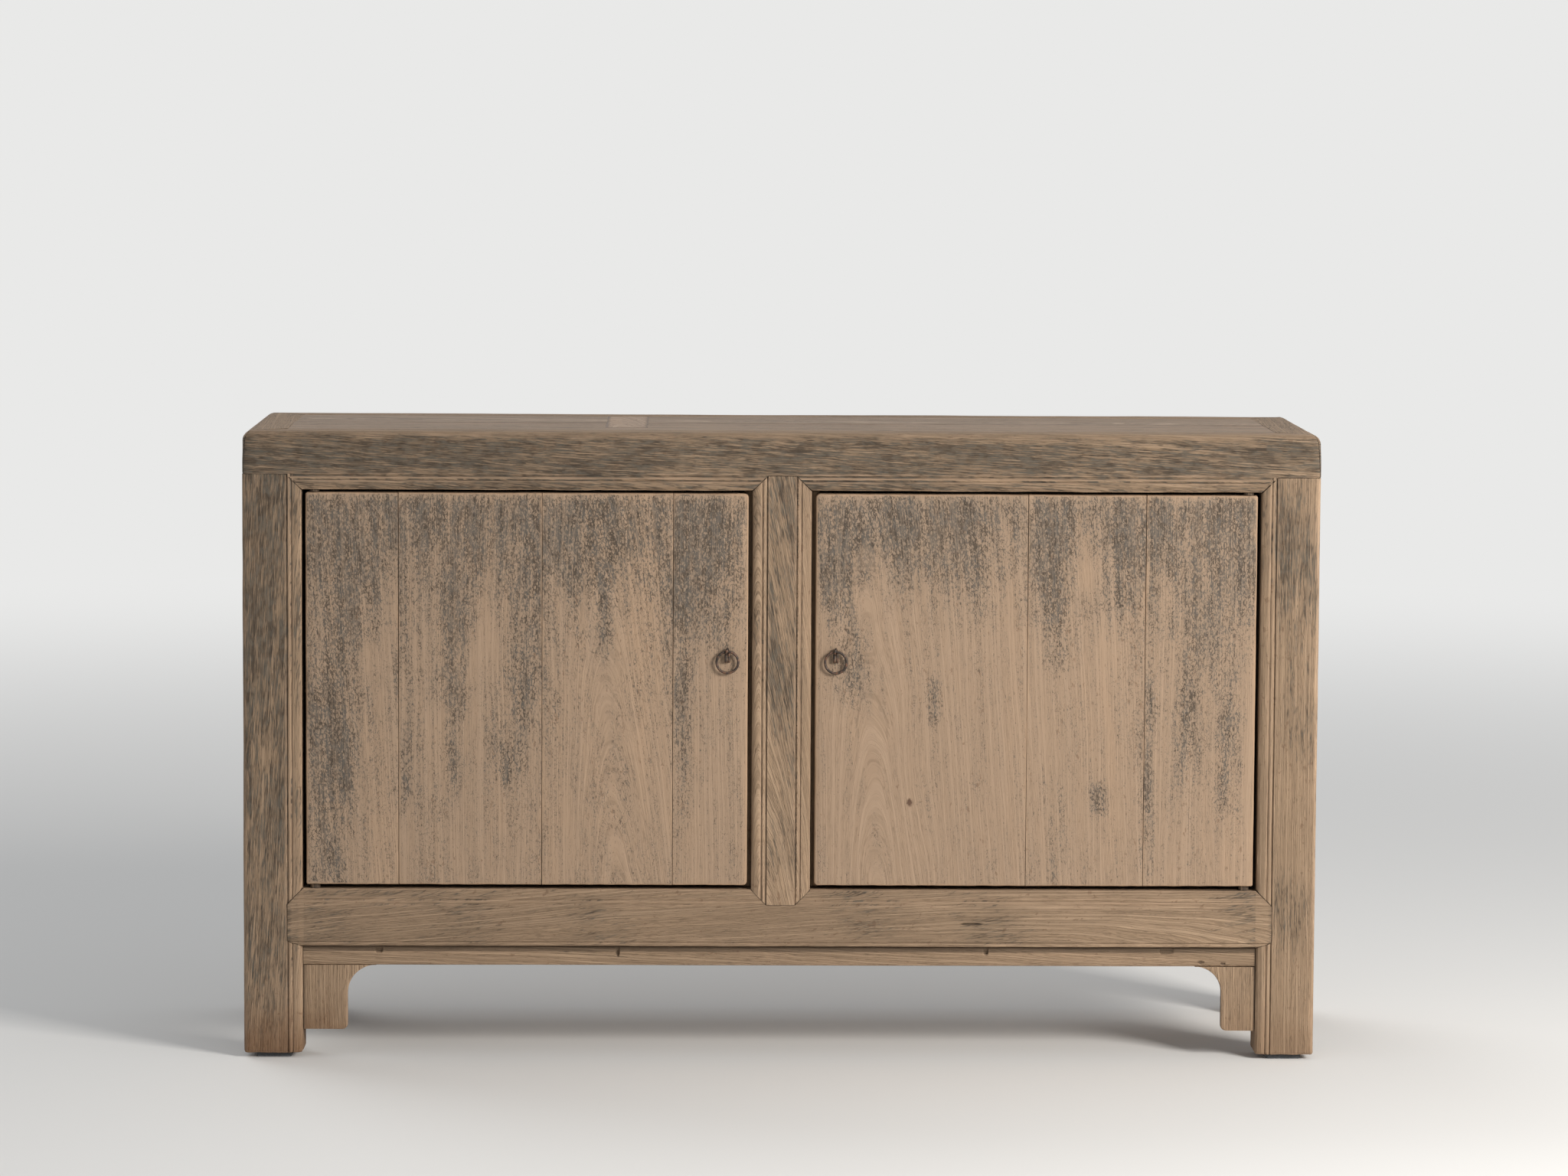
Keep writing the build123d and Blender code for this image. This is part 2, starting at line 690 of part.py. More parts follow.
with BuildPart() as door_stop:
    block((-stop_width / 2, stop_width / 2), (stop_front, stop_back), (opening_bottom, opening_top))
    rear_arrises = edges().filter_by(Axis.Z).group_by(Axis.Y)[-1]
    chamfer(rear_arrises, stop_thickness / 4)
    block(*eased(bearer_tenon(stop_back, -1)), mode=Mode.SUBTRACT)
save(door_stop, "door_stop")

with BuildPart() as rear_muntin:
    block((-muntin_width / 2, muntin_width / 2), (muntin_front, rear_face), (opening_bottom, post_top))
    block(*muntin_tenon(post_top, 1))
    block(*muntin_tenon(opening_bottom, -1))
    block(*eased(bearer_tenon(muntin_front, 1)), mode=Mode.SUBTRACT)
    for side in side_names:
        groove_x = ordered(side * muntin_width / 2, side * (muntin_width / 2 - groove_depth))
        groove((groove_x, (back_board_inner, back_board_outer), (opening_bottom, post_top)))
save(rear_muntin, "rear_muntin")

# ------------------------------------------------------------------ side and back boards
wall_board_z = (opening_bottom - tongue_reach, post_top + tongue_reach)
for side, side_name in side_names.items():
    board_x = ordered(side * side_board_inner, side * side_board_outer)
    for place, board_y in (
        ("front", (front_post_back - tongue_reach, middle_depth)),
        ("rear", (middle_depth, rear_post_front + tongue_reach)),
    ):
        with BuildPart() as side_board:
            block(board_x, board_y, wall_board_z)
        save(side_board, f"{side_name}_side_{place}_board")

back_inner_edge = muntin_width / 2 - tongue_reach
back_outer_edge = opening_edge + tongue_reach
back_seam = (back_inner_edge + back_outer_edge) / 2
for side, side_name in side_names.items():
    for place, limits in (
        ("outer", (side * back_seam, side * back_outer_edge)),
        ("inner", (side * back_inner_edge, side * back_seam)),
    ):
        with BuildPart() as back_board:
            block(ordered(*limits), (back_board_inner, back_board_outer), wall_board_z)
        save(back_board, f"back_{side_name}_{place}_board")

# ------------------------------------------------------------------ floor of the case
floor_front = front_rail_back - tongue_reach
floor_rear = rear_rail_front + tongue_reach
floor_board_count = 3
floor_board_width = (floor_rear - floor_front) / floor_board_count
floor_reach = side_rail_inner + tongue_reach
for index, place in enumerate(("front", "middle", "rear")):
    board_front = floor_front + index * floor_board_width
    board_rear = board_front + floor_board_width
    with BuildPart() as floor_board:
        floor_z = (floor_underside, floor_board_level)
        block((-floor_reach, floor_reach), (board_front, board_rear), floor_z)
        for side in side_names:
            notch_x = ordered(side * (opening_edge - board_end_gap), side * (floor_reach + cut_margin))
            if place == "front":
                notch_y = (board_front - cut_margin, front_post_back + board_end_gap)
                block(notch_x, notch_y, floor_z, mode=Mode.SUBTRACT)
            if place == "rear":
                notch_y = (rear_post_front - board_end_gap, board_rear + cut_margin)
                block(notch_x, notch_y, floor_z, mode=Mode.SUBTRACT)
    save(floor_board, f"floor_{place}_board")

for middle_x, name in zip(floor_bearer_positions, ("left", "right")):
    with BuildPart() as floor_bearer:
        bearer_x = (middle_x - floor_bearer_width / 2, middle_x + floor_bearer_width / 2)
        bearer_z = (floor_underside - floor_bearer_height, floor_underside)
        block(bearer_x, (front_rail_back, rear_rail_front), bearer_z)
        block(*floor_bearer_tenon(middle_x, front_rail_back, -1))
        block(*floor_bearer_tenon(middle_x, rear_rail_front, 1))
    save(floor_bearer, f"floor_bearer_{name}")

# ------------------------------------------------------------------ shelf
shelf_z = (shelf_underside, shelf_level)
shelf_reach = side_board_inner - shelf_gap
with BuildPart() as shelf_front_board:
    block((-shelf_reach, shelf_reach), (front_post_back + shelf_gap, middle_depth), shelf_z)
save(shelf_front_board, "shelf_front_board")

with BuildPart() as shelf_rear_board:
    shelf_rear = muntin_front - shelf_gap
    block((-shelf_reach, shelf_reach), (middle_depth, shelf_rear), shelf_z)
    for side in side_names:
        notch_x = ordered(side * (opening_edge - shelf_gap), side * (shelf_reach + cut_margin))
        notch_y = (rear_post_front - shelf_gap, shelf_rear + cut_margin)
        block(notch_x, notch_y, shelf_z, mode=Mode.SUBTRACT)
save(shelf_rear_board, "shelf_rear_board")

cleat_z = (shelf_underside - cleat_height, shelf_underside)
for side, side_name in side_names.items():
    with BuildPart() as shelf_cleat:
        cleat_x = ordered(side * (side_board_inner - cleat_thickness), side * side_board_inner)
        block(cleat_x, (front_post_back, rear_post_front), cleat_z)
        block(*cleat_tenon(side, front_post_back, -1))
        block(*cleat_tenon(side, rear_post_front, 1))
    save(shelf_cleat, f"shelf_cleat_{side_name}")

with BuildPart() as shelf_centre_bearer:
    block((-bearer_width / 2, bearer_width / 2), (stop_back, muntin_front), cleat_z)
    block(*bearer_tenon(stop_back, -1))
    block(*bearer_tenon(muntin_front, 1))
save(shelf_centre_bearer, "shelf_centre_bearer")

# ------------------------------------------------------------------ apron between the front legs
apron_front = front_face + apron_setback
apron_plane = Plane.XZ.offset(-apron_front)
strip_base = bottom_rail_base - apron_strip_height

with BuildPart() as apron_strip:
    apron_y = (apron_front, apron_front + apron_thickness)
    block((-opening_edge, opening_edge), apron_y, (strip_base, bottom_rail_base))
    lower_front_edge = edges().filter_by(Axis.X).group_by(Axis.Z)[0].sort_by(Axis.Y)[0]
    fillet(lower_front_edge, apron_thickness / 6)
save(apron_strip, "apron_strip")

for side, side_name in side_names.items():
    with BuildPart() as apron_bracket:
        with BuildSketch(apron_plane):
            leg_x = side * opening_edge
            inner_x = side * (opening_edge - bracket_width)
            tip_x = side * (opening_edge - bracket_width - bracket_cove_radius)
            bracket_base = strip_base - bracket_height
            cove_foot = strip_base - bracket_cove_radius
            with BuildLine():
                Polyline((tip_x, strip_base), (leg_x, strip_base), (leg_x, bracket_base))
                Line((leg_x, bracket_base), (inner_x, bracket_base))
                Line((inner_x, bracket_base), (inner_x, cove_foot))
                RadiusArc((inner_x, cove_foot), (tip_x, strip_base), -side * bracket_cove_radius)
            make_face()
            lowest_corners = vertices().group_by(Axis.Y)[0]
            fillet(lowest_corners.sort_by(Axis.X)[-1 if side < 0 else 0], bracket_corner_radius)
        extrude(amount=-apron_thickness)
    save(apron_bracket, f"apron_bracket_{side_name}")

with BuildPart() as foot_pads:
    with BuildSketch(Plane.XY):
        pad_x = half_width - post_width / 2
        pad_y = (case_depth - post_depth) / 2
        with Locations((0, middle_depth)):
            with GridLocations(2 * pad_x, 2 * pad_y, 2, 2):
                RectangleRounded(pad_width, pad_depth, pad_corner_radius)
    extrude(amount=pad_thickness)
save(foot_pads, "foot_pads")

# ------------------------------------------------------------------ doors
door_front = front_face + door_recess
door_back = door_front + door_thickness
door_base = opening_bottom + door_bottom_gap
door_head = opening_top - door_top_gap
door_hinge_edge = opening_edge - door_hinge_gap
door_free_edge = mullion_half + door_free_gap
door_width = door_hinge_edge - door_free_edge
staple_x = door_free_edge + ring_free_edge_distance
staple_entry = ring_height - staple_drop
batten_levels = (door_base + door_batten_inset, door_head - door_batten_inset)
batten_limits = (door_free_edge + door_batten_free_setback, door_hinge_edge - door_batten_hinge_setback)


def door_batten_key(x_limits, level, mode):
    """Dovetail key along X that reaches forward from the back of a door."""
    with BuildSketch(Plane.YZ.offset(x_limits[0])) as key:
        with BuildLine():
            Polyline(
                (door_back, level - batten_key_mouth / 2),
                (door_back, level + batten_key_mouth / 2),
                (door_back - batten_key_depth, level + batten_key_root / 2),
                (door_back - batten_key_depth, level - batten_key_root / 2),
                close=True,
            )
        make_face()
    extrude(key.sketch, amount=x_limits[1] - x_limits[0], mode=mode)


def cut_staple_hole(side):
    """Cut the upright-walled slot that the two legs of the staple pass through."""
    hole_radius = staple_wire_radius + staple_hole_clearance
    with BuildSketch(Plane.XZ.offset(-door_front)) as slot:
        with Locations((side * staple_x, staple_entry)):
            SlotCenterToCenter(staple_leg_spacing, 2 * hole_radius)
    extrude(slot.sketch, amount=-door_thickness, mode=Mode.SUBTRACT)


def bent_circle(middle, radius, bends):
    """Path of a wire bent round a circle in short straight runs, from the middle of its top run."""
    corner_reach = radius / math.cos(math.pi / bends)
    turns = [math.pi * (2 * index + 1) / bends for index in range(bends)]
    across, up = middle
    corners = [(across + corner_reach * math.sin(turn), up + corner_reach * math.cos(turn)) for turn in turns]
    Polyline((across, up + radius), *corners, close=True)


def board_names(count):
    """Names of a door's boards, from its hinge edge to its free edge."""
    between = ["middle"] if count == 3 else ["second", "third"]
    return ["hinge"] + between + ["free"]


for side, side_name, board_shares in ((-1, "left", left_board_shares), (1, "right", right_board_shares)):
    # The boards are glued up first, and the whole door is then cut to shape and eased.
    with BuildPart() as door_outline:
        with BuildSketch(Plane.XZ.offset(-door_front)):
            door_middle = side * (door_hinge_edge + door_free_edge) / 2
            with Locations((door_middle, (door_base + door_head) / 2)):
                Rectangle(door_width, door_head - door_base)
            fillet(vertices().group_by(Axis.X)[-1 if side < 0 else 0], door_corner_radius)
            fillet(vertices().group_by(Axis.X)[0 if side < 0 else -1], door_hinge_corner_radius)
        extrude(amount=-door_thickness)
        fillet(faces().sort_by(Axis.Y)[0].edges(), door_edge_radius)

    widths = [share * door_width for share in (*board_shares, 1 - sum(board_shares))]
    hinge_side_edge = door_hinge_edge
    for width, board_name in zip(widths, board_names(len(widths))):
        board_x = ordered(side * hinge_side_edge, side * (hinge_side_edge - width))
        with BuildPart() as door_board:
            add(door_outline.part)
            board_y = (door_front - cut_margin, door_back + cut_margin)
            board_z = (door_base - cut_margin, door_head + cut_margin)
            block(board_x, board_y, board_z, mode=Mode.INTERSECT)
            slot_x = ordered(side * batten_limits[1], side * (door_free_edge - cut_margin))
            for level in batten_levels:
                door_batten_key(slot_x, level, Mode.SUBTRACT)
            if board_name == "hinge":
                pivot_x = side * (door_hinge_edge - pivot_inset)
                pivot_y = (door_front + door_back) / 2
                pivot_top = opening_top + pivot_top_engagement
                pivot_base = opening_bottom - pivot_bottom_engagement
                with BuildSketch(Plane.XY.offset(door_head)):
                    with Locations((pivot_x, pivot_y)):
                        Circle(pivot_radius)
                extrude(amount=pivot_top - door_head)
                with BuildSketch(Plane.XY.offset(door_base)):
                    with Locations((pivot_x, pivot_y)):
                        Circle(pivot_radius)
                extrude(amount=pivot_base - door_base)
            if board_name == "free":
                cut_staple_hole(side)
        save(door_board, f"{side_name}_door_{board_name}_board")
        hinge_side_edge -= width

    for level, batten_name in zip(batten_levels, ("lower", "upper")):
        with BuildPart() as door_batten:
            batten_x = ordered(side * batten_limits[0], side * batten_limits[1])
            batten_y = (door_back, door_back + door_batten_thickness)
            block(batten_x, batten_y, (level - door_batten_width / 2, level + door_batten_width / 2))
            rear_arrises = edges().filter_by(Axis.X).group_by(Axis.Y)[-1]
            chamfer(rear_arrises, door_batten_thickness / 4)
            door_batten_key(batten_x, level, Mode.ADD)
        save(door_batten, f"{side_name}_door_{batten_name}_batten")

    # The staple is one iron wire folded round the ring, with its legs clenched behind the door.
    # All the wire is hammered to eight sides and bent in short straight runs.
    eye_y = door_front - eye_standoff
    clench_y = door_back + staple_wire_radius + staple_hole_clearance
    pull_x = side * staple_x
    leg_top = ring_height - eye_radius + staple_wire_radius / 2
    half_bend = math.pi / 4  # each square bend is made as two of these
    bend_cut = staple_bend_radius * (1 - math.tan(half_bend / 2))
    with BuildPart() as staple:
        with BuildLine(Plane.YZ.offset(pull_x)) as eye_path:
            bent_circle((eye_y, ring_height), eye_radius, eye_bends)
        with BuildSketch(Plane.XZ.offset(-eye_y)) as eye_section:
            with Locations((pull_x, ring_height + eye_radius)):
                RegularPolygon(staple_wire_radius, wire_sides)
        sweep(eye_section.sketch, path=eye_path.line, transition=Transition.RIGHT)
        for leg_side, clench_direction in ((-1, 1), (1, -1)):
            leg_x = pull_x + leg_side * staple_leg_spacing / 2
            with BuildLine(Plane.YZ.offset(leg_x)) as leg_path:
                Polyline(
                    (eye_y, leg_top),
                    (eye_y, staple_entry + bend_cut),
                    (eye_y + bend_cut, staple_entry),
                    (clench_y - bend_cut, staple_entry),
                    (clench_y, staple_entry + clench_direction * bend_cut),
                    (clench_y, staple_entry + clench_direction * staple_clench_length),
                )
            with BuildSketch(Plane(origin=(leg_x, eye_y, leg_top), z_dir=(0, 0, -1))) as leg_section:
                RegularPolygon(staple_wire_radius, wire_sides)
            sweep(leg_section.sketch, path=leg_path.line, transition=Transition.RIGHT)
    save(staple, f"{side_name}_ring_staple")

    with BuildPart() as ring:
        with BuildLine(Plane.XZ.offset(-eye_y)) as ring_path:
            bent_circle((pull_x, ring_height - ring_radius), ring_radius, ring_bends)
        with BuildSketch(Plane.YZ.offset(pull_x)) as ring_section:
            with Locations((eye_y, ring_height)):
                RegularPolygon(ring_wire_radius, wire_sides)
        sweep(ring_section.sketch, path=ring_path.line, transition=Transition.RIGHT)
    save(ring, f"{side_name}_ring")
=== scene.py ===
# Kang cabinet of reclaimed elm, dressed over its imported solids.
# Sizes are millimetres up to the point where a mesh is made, and metres from there on.

import functools
import logging
import zlib
from collections.abc import Callable, Sequence
from dataclasses import dataclass, field
from enum import Enum
from math import atan2, cos, hypot, pi, radians, sin, sqrt, tau

import bmesh
import bpy
import numpy as np
from mathutils import Matrix, Vector


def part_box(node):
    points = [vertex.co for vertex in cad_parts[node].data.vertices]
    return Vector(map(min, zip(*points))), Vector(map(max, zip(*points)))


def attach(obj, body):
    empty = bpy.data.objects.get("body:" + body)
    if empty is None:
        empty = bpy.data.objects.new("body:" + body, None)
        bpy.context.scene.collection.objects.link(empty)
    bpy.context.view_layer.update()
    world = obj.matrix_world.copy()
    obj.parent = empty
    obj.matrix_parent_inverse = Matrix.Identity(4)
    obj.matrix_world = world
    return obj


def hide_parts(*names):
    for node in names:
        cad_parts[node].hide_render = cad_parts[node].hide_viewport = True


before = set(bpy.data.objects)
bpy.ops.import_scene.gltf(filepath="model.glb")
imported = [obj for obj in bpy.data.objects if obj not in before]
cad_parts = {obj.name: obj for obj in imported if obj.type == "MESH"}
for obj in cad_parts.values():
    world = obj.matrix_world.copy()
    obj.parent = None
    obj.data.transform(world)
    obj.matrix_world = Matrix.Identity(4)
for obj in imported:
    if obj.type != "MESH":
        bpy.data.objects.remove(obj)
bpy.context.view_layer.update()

log = logging.getLogger("kang_cabinet")

MM = 0.001
STATION = 7.0  # spacing of the sections along a timber
CLOSE_STATION = 1.1  # the same where a chip is
END_STATION = 2.0  # distance of the last section but one from an end
CHIPPED_SKIN = 4.0  # how deep in the section a chip still moves points
FACE_STEP = 7.0  # spacing of the points across a face
ARRIS_REACH = 4.0  # how far the wear of an arris spreads over a face
JOINT_EASE = 0.35  # rounding where two boards meet
SHARP_ANGLE = 38  # degrees between faces that are shaded as an edge
PLAIN_RESIDUE = 0.12  # density of the residue on a timber that states none
BOARD_SHIFT = (4000, 30, 20)  # how far apart timbers lie in the grain: along, across and in depth
CASE = "case"
Array = np.ndarray
Tree = bpy.types.NodeTree
Row = tuple[float, float, float, float]
Place = tuple[float, float, float]
Paint = tuple[int, int, int]
Field = Callable[[Array], Array]
ORIGIN = (0.0, 0.0, 0.0)
X, Y, Z = (1, 0, 0), (0, 1, 0), (0, 0, 1)
RIGHT, DEEPER, LEFT, OUTWARDS = (1, 0), (0, 1), (-1, 0), (0, -1)  # directions of a section


class Finish(Enum):
    """The record's material slots."""

    FRAME = "elm_frame"
    DOOR = "elm_door"
    TOP = "elm_top"
    SIDE = "elm_side"
    INNER = "elm_inner"
    IRON = "iron"
    FELT = "felt"


class Sawn(Enum):
    """How a timber was cut from the log: (pith across, pith depth, slope along the grain)."""

    QUARTER = (240.0, 90.0, 0.0)
    RIFT = (-170.0, 120.0, 0.03)
    FLAT = (74.0, 52.0, 0.05)
    HEART = (-14.0, 12.0, 0.09)
    SLANTED = (150.0, 60.0, 0.1)


# ---------- sections
def arc_through(start: Sequence[float], middle: Sequence[float], end: Sequence[float], count: int) -> list:
    """Lay points on the circular arc through three points.

    Args:
        start, middle, end: points as (across, depth).
        count: number of intervals.

    Returns:
        count + 1 points, ends included.
    """
    (ax, ay), (bx, by), (cx, cy) = start, middle, end
    d = 2 * (ax * (by - cy) + bx * (cy - ay) + cx * (ay - by))
    a2, b2, c2 = ax * ax + ay * ay, bx * bx + by * by, cx * cx + cy * cy
    ux = (a2 * (by - cy) + b2 * (cy - ay) + c2 * (ay - by)) / d
    uy = (a2 * (cx - bx) + b2 * (ax - cx) + c2 * (bx - ax)) / d
    radius = hypot(ax - ux, ay - uy)
    first, mid, last = (atan2(y - uy, x - ux) for x, y in (start, middle, end))
    turn = (last - first) % tau
    if (mid - first) % tau > turn:
        turn -= tau
    angles = [first + turn * i / count for i in range(count + 1)]
    return [(ux + radius * cos(a), uy + radius * sin(a)) for a in angles]


@dataclass
class Pen:
    """Draws a closed section point by point, with the wear and grime of each point."""

    rows: list[Row] = field(default_factory=list)

    def point(self, across: float, depth: float, edge: float = 0.0, grime: float = 0.0) -> "Pen":
        """Add one point."""
        self.rows.append((across, depth, edge, grime))
        return self

    def run(self, across: float, depth: float, edge: float = 0.0, grime: float = 0.0) -> "Pen":
        """Add points in a straight line from the last one to a new one.

        Args:
            across, depth: the new point.
            edge, grime: its wear and dirt.

        Returns:
            The pen.
        """
        x0, y0, e0, _ = self.rows[-1]
        length = hypot(across - x0, depth - y0)
        count = max(1, round(length / FACE_STEP))
        for i in range(1, count):
            t = i / count
            near = max(0.0, 1 - min(t, 1 - t) * length / ARRIS_REACH)
            self.point(x0 + (across - x0) * t, y0 + (depth - y0) * t, near * 0.4 * (e0 + edge) / 2, 0.0)
        return self.point(across, depth, edge, grime)

    def corner(self, across: float, depth: float, radius: float, way_in: Sequence[float],
               way_out: Sequence[float], edge: float = 1.0, count: int = 4) -> "Pen":
        """Run to a square corner and round it.

        Args:
            across, depth: the sharp corner.
            radius: rounding.
            way_in, way_out: directions of travel before and after the corner.
            edge: wear at the middle of the rounding.
            count: intervals of the arc.

        Returns:
            The pen.
        """
        ix, iy = way_in
        ox, oy = way_out
        cx, cy = across - ix * radius + ox * radius, depth - iy * radius + oy * radius
        for i in range(count + 1):
            angle = pi / 2 * i / count
            x = cx - ox * radius * cos(angle) + ix * radius * sin(angle)
            y = cy - oy * radius * cos(angle) + iy * radius * sin(angle)
            wear = edge * (0.45 + 0.55 * sin(2 * angle))
            if i == 0 and self.rows:
                self.run(x, y, wear)
            else:
                self.point(x, y, wear)
        return self

    def close(self) -> Array:
        """Run back to the start.

        Returns:
            The rows of (across, depth, edge, grime).
        """
        self.run(*self.rows[0])
        return np.array(self.rows[:-1])


def draw_rectangle(width: float, depth: float, radii: Sequence[float]) -> Array:
    """Section of a plain timber.

    Args:
        width, depth: its size.
        radii: rounding at front near, front far, back far and back near.

    Returns:
        The closed section.
    """
    pen = Pen()
    pen.corner(0, 0, radii[0], OUTWARDS, RIGHT)
    pen.corner(width, 0, radii[1], RIGHT, DEEPER)
    pen.corner(width, depth, radii[2], DEEPER, LEFT)
    pen.corner(0, depth, radii[3], LEFT, OUTWARDS)
    return pen.close()


def rounding(radius: float, distance: float) -> float:
    """How far a rounding draws an edge in, at a distance from where the rounding ends."""
    return radius - sqrt(max(radius ** 2 - max(radius - distance, 0.0) ** 2, 0.0))


@dataclass(frozen=True)
class Moulding:
    """The bead and ovolo that runs round the door openings."""

    width: float = 21.0
    drop: float = 6.0
    bead: float = 5.0
    quirk: float = 1.6
    quirk_depth: float = 2.6
    crest: float = 0.3
    root: float = 1.8
    flank: float = 0.7  # depth of the bead's outer side
    worn_bead: float = 0.9  # depth that side wears down to
    ovolo_wear: tuple[float, ...] = (0.8, 0.45, 0.2, 0.1, 0.1, 0.2, 0.4, 0.65)
    bead_wear: tuple[float, ...] = (0.0, 0.3, 0.7, 0.8, 0.7, 0.3, 0.0)

    def rows(self, quirk_left: float = 1.0) -> list[Row]:
        """Points from the opening's edge to the flat of the face.

        Args:
            quirk_left: how much of the quirks wear has left, from 0 to 1.

        Returns:
            Rows of (across, depth, edge, grime).
        """
        ovolo = self.width - self.bead - 2 * self.quirk
        shoulder = self.root - self.quirk / 2
        start, end = ovolo + self.quirk, ovolo + self.quirk + self.bead
        hollow = (ovolo / 2 - 0.8, (self.drop + shoulder) / 2 - 1.6)
        curve = arc_through((0, self.drop), hollow, (ovolo, shoulder), len(self.ovolo_wear) - 1)
        rows = [(s, d, wear, 0.0) for (s, d), wear in zip(curve, self.ovolo_wear)]
        sunk = self.root + (self.quirk_depth - self.root) * quirk_left
        rows.append((ovolo + self.quirk / 2, sunk, 0.0, 0.8 * quirk_left))
        last = len(self.bead_wear) - 1
        bead = arc_through((start, self.root), (start + self.bead / 2, self.crest), (end, self.root), last)
        for i, (s, d) in enumerate(bead):
            depth = d if i < 4 else self.worn_bead + (d - self.worn_bead) * quirk_left
            rows.append((s, depth, self.bead_wear[i], 0.2 * quirk_left if i in (0, last) else 0.0))
        outer = self.flank + (sunk - self.flank) * quirk_left
        rows.append((end + self.quirk / 2, outer, 0.0, 0.8 * quirk_left))
        rows.append((self.width, 0.0, 0.5, 0.1 * quirk_left))
        return rows


MOULDING = Moulding()


@dataclass(frozen=True)
class Chip:
    """A splinter lost from a front face: centre, half width, half height and depth."""

    x: float
    z: float
    half_width: float
    half_height: float
    depth: float

    def loss(self, points: Array) -> Array:
        """Work out how much of the chip's depth is gone.

        Args:
            points: points of a timber.

        Returns:
            The share that is gone at each point.
        """
        across = (points[:, 0] - self.x) / self.half_width
        away = np.hypot(across, (points[:, 2] - self.z) / self.half_height)
        return ramp(1.15 - away, 0.0, 0.4)

    def reach(self) -> tuple[float, float]:
        """Range along X that needs close sections."""
        return self.x - 1.3 * self.half_width, self.x + 1.3 * self.half_width


# ---------- timbers
@dataclass(frozen=True)
class Axes:
    """Where a timber lies: its origin and its own three directions in the cabinet's frame."""

    origin: Place
    along: Place
    across: Place
    into: Place

    def place(self, rows: Array) -> Array:
        """Turn (along, across, depth) rows into points of the cabinet."""
        return np.array(self.origin) + rows[:, :3] @ np.array([self.along, self.across, self.into])


@dataclass
class Skin:
    """Sections carried along a timber and joined into one closed surface."""

    rows: list[Array] = field(default_factory=list)

    def station(self, along: Array | float, section: Array, inset: float = 0.0,
                wear: float = 0.0, grime: Array | float = 0.0) -> None:
        """Add one section.

        Args:
            along: position of each of its points along the timber.
            section: rows of (across, depth, edge, grime).
            inset: how far the section is drawn in towards its middle.
            wear, grime: least edge wear and grime of its points.
        """
        rows = np.column_stack([np.broadcast_to(along, len(section)), section]).astype(float)
        if inset:
            low, high = section[:, :2].min(0), section[:, :2].max(0)
            middle, size = (low + high) / 2, np.maximum(high - low, 1e-6)
            rows[:, 1:3] = middle + (rows[:, 1:3] - middle) * (1 - 2 * inset / size)
        rows[:, 3] = np.maximum(rows[:, 3], wear)
        rows[:, 4] = np.maximum(rows[:, 4], grime)
        self.rows.append(rows)

    def span(self, section: Array, start: Array | float, end: Array | float,
             grime: tuple[float, float] = (0.0, 0.0), where: Array | bool = True,
             close: Sequence[tuple[float, float]] = ()) -> None:
        """Carry one section from start to end.

        Args:
            section: rows of (across, depth, edge, grime).
            start, end: first and last position of each of its points.
            grime: dirt at the start and at the end.
            where: the points that the dirt is on.
            close: ranges along the timber where the sections stand close together.
        """
        start, end = np.asarray(start, float), np.asarray(end, float)
        reach = max(float(np.max(end - start)), 1e-6)
        count = max(1, round(reach / STATION))
        shares = {i / count for i in range(count + 1)}
        shares |= {min(0.5, END_STATION / reach), max(0.5, 1 - END_STATION / reach)}
        first = float(np.mean(start))
        for low, high in close:
            near = (np.arange(low, high, CLOSE_STATION) - first) / (float(np.mean(end)) - first)
            shares |= {float(share) for share in near if 0.01 < share < 0.99}
        for share in sorted(shares):
            dirt = grime[0] if share == 0 else grime[1] if share == 1 else 0.0
            self.station(start + (end - start) * share, section, grime=dirt * np.asarray(where, float))

    def plank(self, section: Array, length: float, radius: float = 1.0, grime: float = 0.0) -> None:
        """Carry one section over a length and round both ends.

        Args:
            section: rows of (across, depth, edge, grime).
            length: of the timber.
            radius: rounding of its ends.
            grime: dirt on the roundings.
        """
        angles = [pi / 2 * i / 3 for i in range(4)]
        ends = [(radius * (1 - cos(a)), radius * (1 - sin(a)), 0.7 * cos(a / 1.3)) for a in angles]
        for along, inset, wear in ends:
            self.station(along, section, inset, wear, grime)
        self.span(section, radius + 0.5, length - radius - 0.5)
        for along, inset, wear in reversed(ends):
            self.station(length - along, section, inset, wear, grime)


